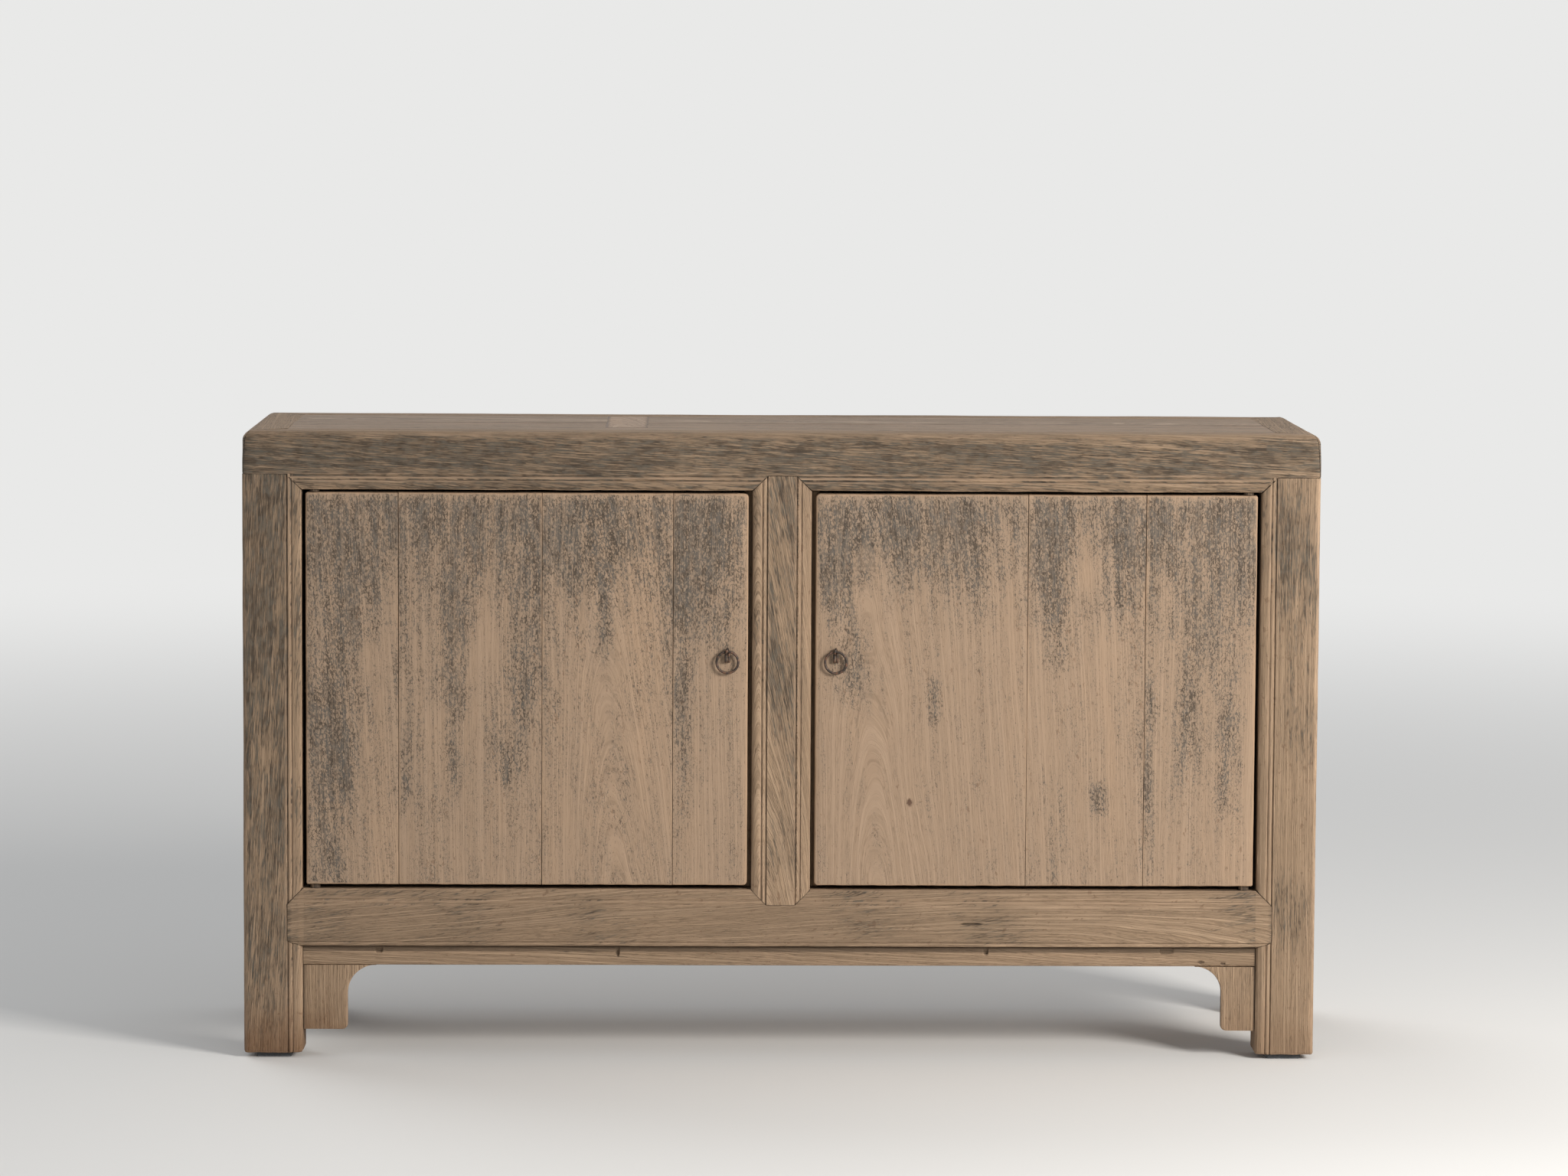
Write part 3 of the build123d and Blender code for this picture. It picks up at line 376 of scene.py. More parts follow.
@dataclass
class Timber:
    """One wooden piece: its surface, its place, how it was sawn and how it is finished."""

    name: str
    finish: Finish
    axes: Axes
    sawn: Sawn = Sawn.QUARTER
    body: str = CASE
    residue: Field | float = PLAIN_RESIDUE
    arris_wear: float = 1.0
    undulation: float = 0.5
    shape: Field | None = None
    tone: float = 0.0
    chips: tuple[Chip, ...] = ()
    skin: Skin = field(default_factory=Skin)

    def make(self) -> bpy.types.Object:
        """Mesh, weather and dress the piece.

        Returns:
            The finished object.
        """
        rows = np.concatenate(self.skin.rows)
        stations, ring = len(self.skin.rows), len(self.skin.rows[0])
        points = self.axes.place(rows)
        rest = points.copy()
        if self.shape:
            points = self.shape(points)
        for chip in self.chips:
            loss = chip.loss(points) * (rows[:, 2] < CHIPPED_SKIN)
            points = points + np.outer(loss * chip.depth, self.axes.into)
            rows[:, 4] = np.maximum(rows[:, 4], loss)
        faces = [list(range(ring)), list(range((stations - 1) * ring, stations * ring))]
        for i in range(stations - 1):
            base = i * ring
            for j in range(ring):
                k = (j + 1) % ring
                faces.append([base + j, base + k, base + ring + k, base + ring + j])
        mesh = bpy.data.meshes.new(self.name)
        mesh.from_pydata((points * MM).tolist(), [], faces)
        seed = zlib.crc32(self.name.encode())
        shifts = ((seed % 97) / 97 - 0.5, (seed // 97 % 89) / 89 - 0.5, (seed // 8633 % 83) / 83)
        far_along, far_across, far_deep = (shift * reach for shift, reach in zip(shifts, BOARD_SHIFT))
        pith_across, pith_depth, slope = self.sawn.value
        wood = np.column_stack([
            rows[:, 0] + far_along,
            rows[:, 1] - pith_across + far_across + slope * (rows[:, 0] - 300),
            rows[:, 2] + pith_depth + far_deep + slope * rows[:, 0],
        ]) * MM
        residue = self.residue(rest) if callable(self.residue) else np.full(len(rows), self.residue)
        add_attribute(mesh, "wood", wood)
        add_attribute(mesh, "edge", rows[:, 3])
        add_attribute(mesh, "grime", rows[:, 4])
        add_attribute(mesh, "residue", np.clip(residue, 0, 1))
        add_attribute(mesh, "tone", np.full(len(rows), self.tone + 0.5 * (shifts[2] - 0.5)))
        tidy_mesh(mesh)
        piece = add_object(self.name, mesh)
        Weathering.wear(piece, self)
        return settle(piece, self.finish, self.body, (self.name,))


def add_object(name: str, data: bpy.types.ID) -> bpy.types.Object:
    """Add an object to the scene.

    Args:
        name: object name.
        data: its mesh, lamp or camera.

    Returns:
        The object.
    """
    made = bpy.data.objects.new(name, data)
    bpy.context.scene.collection.objects.link(made)
    return made


def add_attribute(mesh: bpy.types.Mesh, name: str, values: Array) -> None:
    """Store one number or one vector for each point of a mesh.

    Args:
        mesh: the mesh.
        name: attribute name.
        values: an array with a row for each point.
    """
    kind, key = ("FLOAT_VECTOR", "vector") if values.ndim == 2 else ("FLOAT", "value")
    layer = mesh.attributes.new(name, kind, "POINT")
    layer.data.foreach_set(key, values.astype(np.float32).ravel())


def tidy_mesh(mesh: bpy.types.Mesh) -> None:
    """Merge doubled points and turn every face outwards.

    Args:
        mesh: the mesh to change.
    """
    work = bmesh.new()
    work.from_mesh(mesh)
    bmesh.ops.remove_doubles(work, verts=work.verts, dist=2e-5)
    bmesh.ops.recalc_face_normals(work, faces=work.faces)
    work.to_mesh(mesh)
    work.free()


def loft(name: str, shapes: Sequence[Sequence[Sequence[Place]]]) -> bpy.types.Mesh:
    """Make a mesh of closed shapes, each a stack of rings of points in millimetres.

    Args:
        name: mesh name.
        shapes: the rings of each shape from the foot up, anticlockwise from above.

    Returns:
        The mesh.
    """
    work = bmesh.new()
    for shape in shapes:
        rings = [[work.verts.new([part * MM for part in point]) for point in ring] for ring in shape]
        for lower, upper in zip(rings, rings[1:]):
            for j in range(len(lower)):
                k = (j + 1) % len(lower)
                work.faces.new((lower[j], lower[k], upper[k], upper[j]))
        work.faces.new(rings[0][::-1])
        work.faces.new(rings[-1])
    mesh = bpy.data.meshes.new(name)
    work.to_mesh(mesh)
    work.free()
    return mesh


def limits_of(name: str) -> list[tuple[float, float]]:
    """Limits of a solid along X, Y and Z in millimetres."""
    low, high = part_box(name)
    return [(low[i] / MM, high[i] / MM) for i in range(3)]


def settle(piece: bpy.types.Object, finish: Finish, body: str, nodes: Sequence[str]) -> bpy.types.Object:
    """Turn a piece's live modifiers into a plain mesh and hand it to the frame.

    Args:
        piece: object with modifiers.
        finish: material slot of the record.
        body: the body that it moves with.
        nodes: solids that it stands for.

    Returns:
        The same object.
    """
    graph = bpy.context.evaluated_depsgraph_get()
    made = bpy.data.meshes.new_from_object(
        piece.evaluated_get(graph), preserve_all_data_layers=True, depsgraph=graph)
    piece.modifiers.clear()
    piece.data = made
    made.name = piece.name
    made.shade_smooth()
    made.set_sharp_from_angle(angle=radians(SHARP_ANGLE))
    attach(piece, body)
    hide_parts(*nodes)
    log.info("%s: %d faces, %s, on %s", piece.name, len(made.polygons), finish.value, body)
    return piece


# ---------- node trees
def operator(operation: str, swapped: bool = False) -> Callable[["Value", object], "Value"]:
    """Make an operator of Value.

    Args:
        operation: Blender's name of the sum.
        swapped: whether the other operand comes first.

    Returns:
        The method.
    """

    def act(self: "Value", other: object) -> "Value":
        """Add the node and return its result."""
        return self.net.math(operation, *((other, self) if swapped else (self, other)))

    return act


@dataclass
class Value:
    """An output in a node tree. Sums with it add the nodes that work them out."""

    net: "Net"
    socket: bpy.types.NodeSocket

    __add__ = operator("ADD")
    __radd__ = operator("ADD", True)
    __sub__ = operator("SUBTRACT")
    __rsub__ = operator("SUBTRACT", True)
    __mul__ = operator("MULTIPLY")
    __truediv__ = operator("DIVIDE")
    __pow__ = operator("POWER")

    def __abs__(self) -> "Value":
        """Size without sign."""
        return self.net.math("ABSOLUTE", self)


@dataclass
class Net:
    """Adds and joins the nodes of one tree."""

    tree: Tree

    def add(self, kind: str, inputs: dict | None = None, **settings: object) -> bpy.types.Node:
        """Add a node.

        Args:
            kind: node type.
            inputs: values or constants by the name or number of the input.
            settings: properties of the node.

        Returns:
            The node.
        """
        node = self.tree.nodes.new(kind)
        for key, setting in settings.items():
            setattr(node, key, setting)
        for key, given in (inputs or {}).items():
            if isinstance(given, Value):
                self.tree.links.new(given.socket, node.inputs[key])
            else:
                node.inputs[key].default_value = given
        return node

    def make(self, kind: str, inputs: dict | None = None, output: str | int = 0,
             **settings: object) -> Value:
        """Add a node and return one of its outputs.

        Args:
            kind, inputs, settings: as for add.
            output: name or number of the output.

        Returns:
            The output.
        """
        return Value(self, self.add(kind, inputs, **settings).outputs[output])

    def outputs(self, kind: str, inputs: dict | None = None, **settings: object) -> dict[str, Value]:
        """Add a node and return its outputs by name."""
        return {socket.name: Value(self, socket) for socket in self.add(kind, inputs, **settings).outputs}

    def group(self, tree: Tree, inputs: dict[str, object]) -> dict[str, Value]:
        """Place a shader group and return its outputs by name."""
        return self.outputs("ShaderNodeGroup", inputs, node_tree=tree)

    def split(self, vector: object) -> list[Value]:
        """The three parts of a vector."""
        return list(self.outputs("ShaderNodeSeparateXYZ", {0: vector}).values())

    def math(self, operation: str, *values: object, clamp: bool = False) -> Value:
        """Scalar arithmetic."""
        return self.make("ShaderNodeMath", dict(enumerate(values)), operation=operation, use_clamp=clamp)

    def pattern(self, vector: Value, detail: float, roughness: float) -> Value:
        """Value noise over a vector as it is."""
        return self.make("ShaderNodeTexNoise", {
            "Vector": vector, "Scale": 1.0, "Detail": detail, "Roughness": roughness})

    def noise(self, vector: Value, factors: Place, detail: float = 2.0, roughness: float = 0.5,
              shift: object = ORIGIN) -> Value:
        """Value noise over a vector times factors.

        Args:
            vector: place or grain.
            factors: features per metre along each axis.
            detail, roughness: of the noise.
            shift: what is added to the vector.

        Returns:
            The noise.
        """
        inputs = {0: vector, 1: factors, 2: shift}
        scaled = self.make("ShaderNodeVectorMath", inputs, operation="MULTIPLY_ADD")
        return self.pattern(scaled, detail, roughness)

    def ribbon(self, along: Value, along_scale: object, across: Value, across_scale: object, layer: float,
               detail: float, roughness: float = 0.5) -> Value:
        """Noise drawn out along the grain.

        Args:
            along, across: distances along the grain and from the pith.
            along_scale, across_scale: features per unit of each.
            layer: number that keeps one pattern apart from another.
            detail, roughness: of the noise.

        Returns:
            The noise.
        """
        place = {0: along * along_scale, 1: across * across_scale, 2: layer}
        return self.pattern(self.make("ShaderNodeCombineXYZ", place), detail, roughness)

    def step(self, value: Value, low: object, high: object, first: float = 0.0, last: float = 1.0) -> Value:
        """Smooth step from first at low to last at high."""
        return self.make("ShaderNodeMapRange", {0: value, 1: low, 2: high, 3: first, 4: last},
                         interpolation_type="SMOOTHSTEP")

    def ridge(self, noise: Value, low: object, high: object) -> Value:
        """1 where a noise crosses its middle, and 0 from high away from it."""
        return 1.0 - self.step(abs(noise - 0.5), low, high)

    def mix(self, factor: object, first: object, second: object, blend: str = "MIX") -> Value:
        """Blend two colours.

        Args:
            factor: share of the second.
            first, second: a value or an 8-bit sRGB colour.
            blend: Blender's name of the way to blend.

        Returns:
            The colour.
        """
        first, second = (srgb(color) if isinstance(color, tuple) else color for color in (first, second))
        inputs = {0: factor, 6: first, 7: second}
        return self.make("ShaderNodeMix", inputs, 2, data_type="RGBA", blend_type=blend)

    def surface(self, strength: float, distance: float, height: Value, look: dict[str, object]) -> None:
        """End a material in a Principled surface with fine relief.

        Args:
            strength, distance: of the relief.
            height: its height, 0 to 1.
            look: inputs of the surface.
        """
        relief = self.make("ShaderNodeBump", {"Strength": strength, "Distance": distance, "Height": height})
        surface = self.make("ShaderNodeBsdfPrincipled", look | {"Normal": relief})
        self.add("ShaderNodeOutputMaterial", {0: surface})


def srgb(color: Paint) -> tuple[float, float, float, float]:
    """Linear colour of an 8-bit sRGB colour."""
    shares = (part / 255 for part in color)
    return (*(v / 12.92 if v < 10.3 / 255 else ((v + 0.055) / 1.055) ** 2.4 for v in shares), 1.0)


def start_material(name: str) -> tuple[bpy.types.Material, Net]:
    """Make an empty material.

    Args:
        name: material name.

    Returns:
        The material and the net that fills it.
    """
    material = bpy.data.materials.new(name)
    material.use_nodes = True
    material.node_tree.nodes.clear()
    return material, Net(material.node_tree)


class PieceNodes:
    """A Geometry Nodes tree that works on one piece and gives it its material."""

    name: str
    takes: str
    gives: str
    numbers: tuple[str, ...]
    vectors: tuple[str, ...] = ()
    tree: Tree | None = None

    @classmethod
    def draw(cls, net: Net, given: dict[str, Value]) -> Value:
        """Add the nodes between the tree's inputs and its geometry."""
        raise NotImplementedError(f"{cls.name}: {net.tree.name} has {len(given)} inputs and no nodes")

    @classmethod
    def build(cls) -> Tree:
        """Make the tree on first use.

        Returns:
            The node tree.
        """
        if cls.tree:
            return cls.tree
        cls.tree = bpy.data.node_groups.new(cls.name, "GeometryNodeTree")
        face = cls.tree.interface
        kinds = {cls.takes: "Geometry"} | dict.fromkeys(cls.numbers, "Float")
        kinds |= dict.fromkeys(cls.vectors, "Vector") | {"Finish": "Material"}
        for name, kind in kinds.items():
            face.new_socket(name, in_out="INPUT", socket_type=f"NodeSocket{kind}")
        face.new_socket(cls.gives, in_out="OUTPUT", socket_type="NodeSocketGeometry")
        net = Net(cls.tree)
        given = net.outputs("NodeGroupInput")
        real = net.make("GeometryNodeRealizeInstances", {0: cls.draw(net, given)})
        dressed = net.make("GeometryNodeSetMaterial", {"Geometry": real, "Material": given["Finish"]})
        net.add("NodeGroupOutput", {0: dressed})
        return cls.tree

    @classmethod
    def on(cls, piece: bpy.types.Object, finish: Finish, values: dict[str, object]) -> None:
        """Put the tree on a piece and set its inputs by their identifiers.

        Args:
            piece: the object.
            finish: its material slot.
            values: the other inputs by name.
        """
        values = values | {"Finish": dress(finish)}
        tree = cls.build()
        modifier = piece.modifiers.new(tree.name, "NODES")
        modifier.node_group = tree
        for item in tree.interface.items_tree:
            if item.in_out == "INPUT" and item.name in values:
                modifier[item.identifier] = values[item.name]


class Weathering(PieceNodes):
    """Wears a timber's arrises and makes its faces a little uneven."""

    name = "weathered_timber"
    takes = gives = "Timber"
    numbers = ("Arris Wear", "Undulation", "Seed")

    @classmethod
    def draw(cls, net: Net, given: dict[str, Value]) -> Value:
        """Move every point inwards by its wear.

        Args:
            net: tree being built.
            given: its inputs.

        Returns:
            The worn timber.
        """
        wood = net.make("GeometryNodeInputNamedAttribute", {"Name": "wood"}, data_type="FLOAT_VECTOR")
        edge = net.make("GeometryNodeInputNamedAttribute", {"Name": "edge"}, data_type="FLOAT")
        shift = net.make("ShaderNodeCombineXYZ", {0: given["Seed"], 1: given["Seed"]})
        rub = net.step(net.noise(wood, (14, 60, 60), 3.0, 0.6, shift=shift), 0.34, 0.72) * 0.8 + 0.2
        chip = net.step(net.noise(wood, (38, 90, 90), 2.0, shift=shift), 0.66, 0.74)
        loss = edge * (rub + edge ** 2.0 * chip) * given["Arris Wear"]
        swell = net.noise(wood, (3.5, 11, 11), 2.0, shift=shift)
        sink = net.step(swell, 0.25, 0.75) * given["Undulation"]
        inwards = {0: net.make("GeometryNodeInputNormal"), "Scale": (loss + sink) * -MM}
        offset = net.make("ShaderNodeVectorMath", inwards, operation="SCALE")
        return net.make("GeometryNodeSetPosition", {"Geometry": given["Timber"], "Offset": offset})

    @classmethod
    def wear(cls, piece: bpy.types.Object, timber: Timber) -> None:
        """Weather a piece, each by its own seed."""
        seed = float(zlib.crc32(timber.name.encode()) % 211)
        cls.on(piece, timber.finish, {
            "Arris Wear": timber.arris_wear, "Undulation": timber.undulation, "Seed": seed})


class ForgedWire(PieceNodes):
    """Draws round wire along a path, with the unevenness of hand forging."""

    name = "forged_wire"
    takes = "Path"
    gives = "Wire"
    numbers = ("Radius", "Unevenness", "Seed")

    @classmethod
    def draw(cls, net: Net, given: dict[str, Value]) -> Value:
        """Carry a circle along the path.

        Args:
            net: tree being built.
            given: its inputs.

        Returns:
            The wire.
        """
        curve = net.make("GeometryNodeMeshToCurve", {0: given["Path"]})
        place = net.make("GeometryNodeInputPosition")
        shift = net.make("ShaderNodeCombineXYZ", {0: given["Seed"], 1: given["Seed"]})
        swell = net.noise(place, (190, 190, 190), 2.0, shift=shift) - 0.62
        thick = (1.0 + swell * given["Unevenness"]) * given["Radius"]
        radius = net.math("MINIMUM", thick, given["Radius"])
        circle = net.make("GeometryNodeCurvePrimitiveCircle", {"Resolution": 12, "Radius": 1.0})
        return net.make("GeometryNodeCurveToMesh", {
            "Curve": curve, "Profile Curve": circle, "Fill Caps": True, "Scale": radius})


class PadsUnderFeet(PieceNodes):
    """Repeats a pad at the corners of a rectangle."""

    name = "pads_under_feet"
    takes = "Pad"
    gives = "Pads"
    numbers = ("Span X", "Span Y")
    vectors = ("Middle",)

    @classmethod
    def draw(cls, net: Net, given: dict[str, Value]) -> Value:
        """Set a pad on each corner of a grid.

        Args:
            net: tree being built.
            given: its inputs.

        Returns:
            The pads.
        """
        grid = net.make(
            "GeometryNodeMeshGrid",
            {"Size X": given["Span X"], "Size Y": given["Span Y"], "Vertices X": 2, "Vertices Y": 2})
        spread = net.make("GeometryNodeInstanceOnPoints", {"Points": grid, "Instance": given["Pad"]})
        return net.make("GeometryNodeTransform", {"Geometry": spread, "Translation": given["Middle"]})


# ---------- shader groups
Drawing = Callable[[Net, dict[str, Value]], Sequence[Value]]


def shared(inputs: dict[str, object],
           outputs: Sequence[str]) -> Callable[[Drawing], Callable[[], Tree]]:
    """Turn a drawing of nodes into a shader group that is made on first use.

    Args:
        inputs: default of each input, a number or a 3-vector.
        outputs: names of the float outputs.

    Returns:
        The decorator. What it makes returns the group's tree.
    """

    def decorate(draw: Drawing) -> Callable[[], Tree]:
        """Name the group after the drawing.

        Args:
            draw: adds the nodes and returns the outputs in order.

        Returns:
            What makes the group once and returns its tree.
        """

        @functools.cache
        def tree() -> Tree:
            """Make the group.

            Returns:
                The group's tree.
            """
            made = bpy.data.node_groups.new(draw.__name__, "ShaderNodeTree")
            for key, default in inputs.items():
                kind = "NodeSocketFloat" if isinstance(default, float) else "NodeSocketVector"
                made.interface.new_socket(key, in_out="INPUT", socket_type=kind).default_value = default
            for key in outputs:
                made.interface.new_socket(key, in_out="OUTPUT", socket_type="NodeSocketFloat")
            net = Net(made)
            net.add("NodeGroupOutput", dict(zip(outputs, draw(net, net.outputs("NodeGroupInput")))))
            return made

        return tree

    return decorate


@shared({"Wood": ORIGIN, "Rings per Metre": 210.0},
        ("Late Wood", "Lines", "Crests", "Fibre", "Pores", "Tone", "Height"))
def elm_grain(net: Net, given: dict[str, Value]) -> Sequence[Value]:
    """Growth rings, open pores, fibre and slow changes of tone in elm.

    Args:
        net: tree being built.
        given: its inputs.

    Returns:
        Its outputs in order.
    """
    wood = given["Wood"]
    along, across, depth = net.split(wood)
    bend = net.noise(wood, (2.6, 9, 9), 2.0) - 0.5
    ripple = net.noise(wood, (17, 30, 30), 1.0) - 0.5
    radius = net.math("SQRT", across ** 2.0 + depth ** 2.0) + bend * 0.016 + ripple * 0.0014
    growth = radius * given["Rings per Metre"]
    rings = net.ribbon(along, 1.6, growth, 1.0, 0.0, 2.0, 0.55)
    hairs = net.ribbon(along, 3.5, growth, 2.9, 7.3, 2.0, 0.6)
    late = net.step(rings, 0.36, 0.66)
    lines = net.math("MAXIMUM", net.ridge(rings, 0.0, 0.05), net.ridge(hairs, 0.0, 0.07) * 0.6)
    fibre = net.ribbon(along, 26.0, radius, 1150.0, 3.1, 3.0, 0.6)
    dashes = net.ribbon(along, 75.0, radius, 1000.0, 5.7, 1.0)
    pores = net.step(dashes, 0.54, 0.66) * (1.0 - late * 0.8)
    tone = net.noise(wood, (1.7, 13, 13), 3.0, 0.6)
    rubbed = net.ribbon(along, 2.4, growth, 0.95, 9.1, 2.0, 0.6)
    crests = net.ridge(rubbed, 0.01, 0.05)
    height = late * 0.3 + fibre * 0.35 + crests * 0.35 - pores * 0.5 - lines * 0.55
    return late, lines, crests, fibre, pores, tone, height


@shared({"Wood": ORIGIN, "Density": 0.5, "Late Wood": 0.0, "Crests": 0.0, "Stretch": 110.0,
         "Fineness": 250.0},
        ("Specks", "Haze", "Cast", "Flecks"))
def dark_residue(net: Net, given: dict[str, Value]) -> Sequence[Value]:
    """Grey-black residue of old lacquer and soot, left as specks and short dashes.

    Args:
        net: tree being built.
        given: its inputs.

    Returns:
        Its outputs in order.
    """
    wood, density, stretch = given["Wood"], given["Density"], given["Stretch"]
    along, side, depth = net.split(wood)
    across = side + depth * 0.9
    clots = net.noise(wood, (17, 60, 60), 3.0, 0.6)
    drift = net.noise(wood, (3.4, 24, 24), 3.0, 0.6)
    runs = net.ribbon(along, 9.0, across, 120.0, 4.4, 3.0, 0.6)
    local = clots * 1.5 + (drift * 1.5 + runs * 1.2) - 2.1
    local = density + local * (density + 0.14)
    local = net.math("SUBTRACT", local, given["Late Wood"] * 0.1, clamp=True)
    cover = local ** 0.6
    worms = net.ribbon(along, stretch, across, given["Fineness"], 2.2, 2.0, 0.55)
    width = net.math("MINIMUM", cover * 0.12 - 0.044, 0.043)
    gaps = net.ribbon(along, stretch, across, 300.0, 6.6, 2.0, 0.6)
    few = 0.53 - cover * 0.25
    worms = net.ridge(worms, width, width + 0.05) * net.step(gaps, few, few + 0.08)
    grains = net.ribbon(along, stretch * 1.7, across, 460.0, 8.8, 3.0, 0.65)
    low = 0.66 - cover * 0.24
    grains = net.step(grains, low, low + 0.1)
    specks = 1.0 - (1.0 - worms * 0.85) * (1.0 - grains * 0.75)
    specks = specks * (1.0 - given["Crests"] * 0.4)
    flecks = net.ribbon(along, 90.0, across, 170.0, 5.3, 3.0, 0.6)
    flecks = net.step(flecks + drift * 0.3, 0.79, 0.86)
    haze = local ** 0.8 * net.step(runs, 0.3, 0.65, 0.5, 1.0)
    cast = net.noise(wood, (60, 110, 110), 2.0, 0.6)
    return specks, haze, cast, flecks


@shared({"Wood": ORIGIN, "Edge": 0.0}, ("Bare",))
def worn_edge(net: Net, given: dict[str, Value]) -> Sequence[Value]:
    """Where hands and cloths have rubbed the arrises bare.

    Args:
        net: tree being built.
        given: its inputs.

    Returns:
        Its outputs in order.
    """
    patch = net.noise(given["Wood"], (16, 70, 70), 3.0, 0.6)
    return (net.step(given["Edge"] + (patch - 0.5) * 1.3, 0.25, 0.8),)


@shared({"Place": ORIGIN, "Grime": 0.0}, ("Held", "Damp"))
def settled_dirt(net: Net, given: dict[str, Value]) -> Sequence[Value]:
    """Dirt held in quirks and joints, painted shade under the apron's rail and on the door pivots, and dust
    and damp near the floor.

    Args:
        net: tree being built.
        given: its inputs.

    Returns:
        Its outputs in order.
    """
    place = given["Place"]
    x, _, z = net.split(place)
    patch = net.noise(place, (40, 40, 26), 3.0, 0.6)
    held = net.step(given["Grime"] + patch * 0.35, 0.35, 1.15)
    damp = 1.0 - net.step(z + patch * 0.09, 0.05, 0.14)
    return held, damp * net.step(x, -0.6, 0.5, 1.0, 0.4)


# ---------- finishes
@dataclass(frozen=True)
class ElmFinish:
    """One finish of the old elm: its colours in 8-bit sRGB, and how much shows of each effect."""

    slot: Finish
    pale: Paint = (171, 147, 121)
    early: Paint = (161, 138, 111)
    line: Paint = (118, 98, 76)
    pore: Paint = (96, 78, 61)
    warm: Paint = (176, 145, 115)
    soot: Paint = (64, 56, 47)
    cool: Paint = (84, 80, 72)
    film: Paint = (104, 93, 79)
    fleck: Paint = (106, 80, 60)
    damp: Paint = (104, 70, 42)
    # colour of dirt held in quirks and joints, and of the painted shade under the apron's rail and on the
    # door pivots
    dirt: Paint = (56, 46, 38)
    core: Paint = (74, 50, 38)
    residue: float = 1.0
    stretch: float = 140.0
    fineness: float = 250.0
    flecks: float = 0.5
    haze: float = 0.6
    specks: float = 0.92
    held: float = 0.6
    lines: float = 0.5
    pores: float = 0.5
    fibre: float = 0.22
    warmth: float = 0.35
    bare: float = 0.45
    roughness: float = 0.8
    relief: float = 0.6
    rings: float = 330.0
    knot: tuple[float, float, float, float] | None = None  # x, y, z and size

    def around_knot(self, net: Net, place: Value) -> tuple[Value, Value]:
        """How near a point is to the knot: its dark core and the grain that swells round it.

        Args:
            net: tree being built.
            place: position on the piece.

        Returns:
            The core and the swell, 0 to 1.
        """
        knot_x, _, knot_z, size = self.knot
        x, _, z = net.split(place)
        across = (x - knot_x * MM) / (size * MM)
        along = (z - knot_z * MM) / (size * MM * 1.3)
        blot = net.noise(place, (260, 260, 260), 2.0) * 0.9
        away = net.math("SQRT", across ** 2.0 + along ** 2.0)
        core = 1.0 - net.step(away + blot, 0.9, 1.6)
        slow = (across ** 2.0 + along ** 2.0 * 0.12) ** 0.5
        return core, 1.0 - net.step(slow, 0.0, 9.0)

    def build(self) -> bpy.types.Material:
        """Make the material.

        Returns:
            The material, named for its slot.
        """
        material, net = start_material(self.slot.value)
        wood = net.make("ShaderNodeAttribute", output="Vector", attribute_name="wood")
        edge, grime, density, tone = (net.make("ShaderNodeAttribute", output="Fac", attribute_name=name)
                                      for name in ("edge", "grime", "residue", "tone"))
        place = net.make("ShaderNodeTexCoord", output="Object")
        if self.knot:
            core, swell = self.around_knot(net, place)
            bulge = net.make("ShaderNodeCombineXYZ", {1: swell * 0.011})
            wood = net.make("ShaderNodeVectorMath", {0: wood, 1: bulge}, operation="ADD")
        grain = net.group(elm_grain(), {"Wood": wood, "Rings per Metre": self.rings})
        dark = net.group(dark_residue(), {
            "Wood": wood, "Density": density * self.residue, "Late Wood": grain["Late Wood"],
            "Crests": grain["Crests"], "Stretch": self.stretch, "Fineness": self.fineness})
        worn = net.group(worn_edge(), {"Wood": wood, "Edge": edge})
        dirt = net.group(settled_dirt(), {"Place": place, "Grime": grime})
        bare = worn["Bare"] * self.bare
        kept = 1.0 - worn["Bare"] * 0.7
        warmth = net.step(grain["Tone"] + tone * 0.3, 0.42, 0.78, 0.0, self.warmth)
        shade = net.step(grain["Fibre"] + tone * 0.25, 0.25, 0.75, 1.04 - self.fibre, 1.04)
        grey = net.make("ShaderNodeCombineColor", dict.fromkeys(range(3), shade))
        soot = net.mix(net.step(dark["Cast"], 0.38, 0.62), self.soot, self.cool)
        color = net.mix(grain["Late Wood"], self.early, self.pale)
        color = net.mix(warmth, color, self.warm)
        color = net.mix(1.0, color, grey, "MULTIPLY")
        # The held coat paints dirt in quirks and joints, and painted shade under the apron's rail and on
        # the door pivots.
        coats = [
            (grain["Lines"] * self.lines, self.line), (grain["Pores"] * self.pores, self.pore),
            (dark["Haze"] * kept * self.haze, self.film), (dark["Flecks"] * self.flecks, self.fleck),
            (dark["Specks"] * kept * self.specks, soot), (bare, self.warm),
            (dirt["Damp"] * self.held, self.damp), (dirt["Held"] * self.held, self.dirt)]
        if self.knot:
            coats.append((core * 0.85, self.core))
        for factor, coat in coats:
            color = net.mix(factor, color, coat)
        rough = net.math("ADD", dark["Specks"] * 0.1, self.roughness, clamp=True) - bare * 0.12
        net.surface(self.relief, 0.0010, grain["Height"] + dark["Specks"] * 0.2, {
            "Base Color": color, "Roughness": rough, "Specular IOR Level": 0.28})
        return material


@dataclass(frozen=True)
class IronFinish:
    """Dark wrought wire with an oxide skin and a little rust."""

    skin: Paint = (62, 55, 50)
    rust: Paint = (104, 70, 48)

    def build(self) -> bpy.types.Material:
        """Make the material.

        Returns:
            The material, named for its slot.
        """
        material, net = start_material(Finish.IRON.value)
        place = net.make("ShaderNodeTexCoord", output="Object")
        coarse = net.noise(place, (260, 260, 260), 4.0, 0.65)
        fine = net.noise(place, (1500, 1500, 1500), 3.0, 0.6)
        net.surface(0.5, 0.0004, coarse * 0.6 + fine * 0.4, {
            "Base Color": net.mix(net.step(coarse, 0.46, 0.66), self.skin, self.rust),
            "Metallic": net.step(coarse, 0.4, 0.6, 0.75, 0.15),
            "Roughness": net.step(fine, 0.3, 0.7, 0.42, 0.66)})
        return material


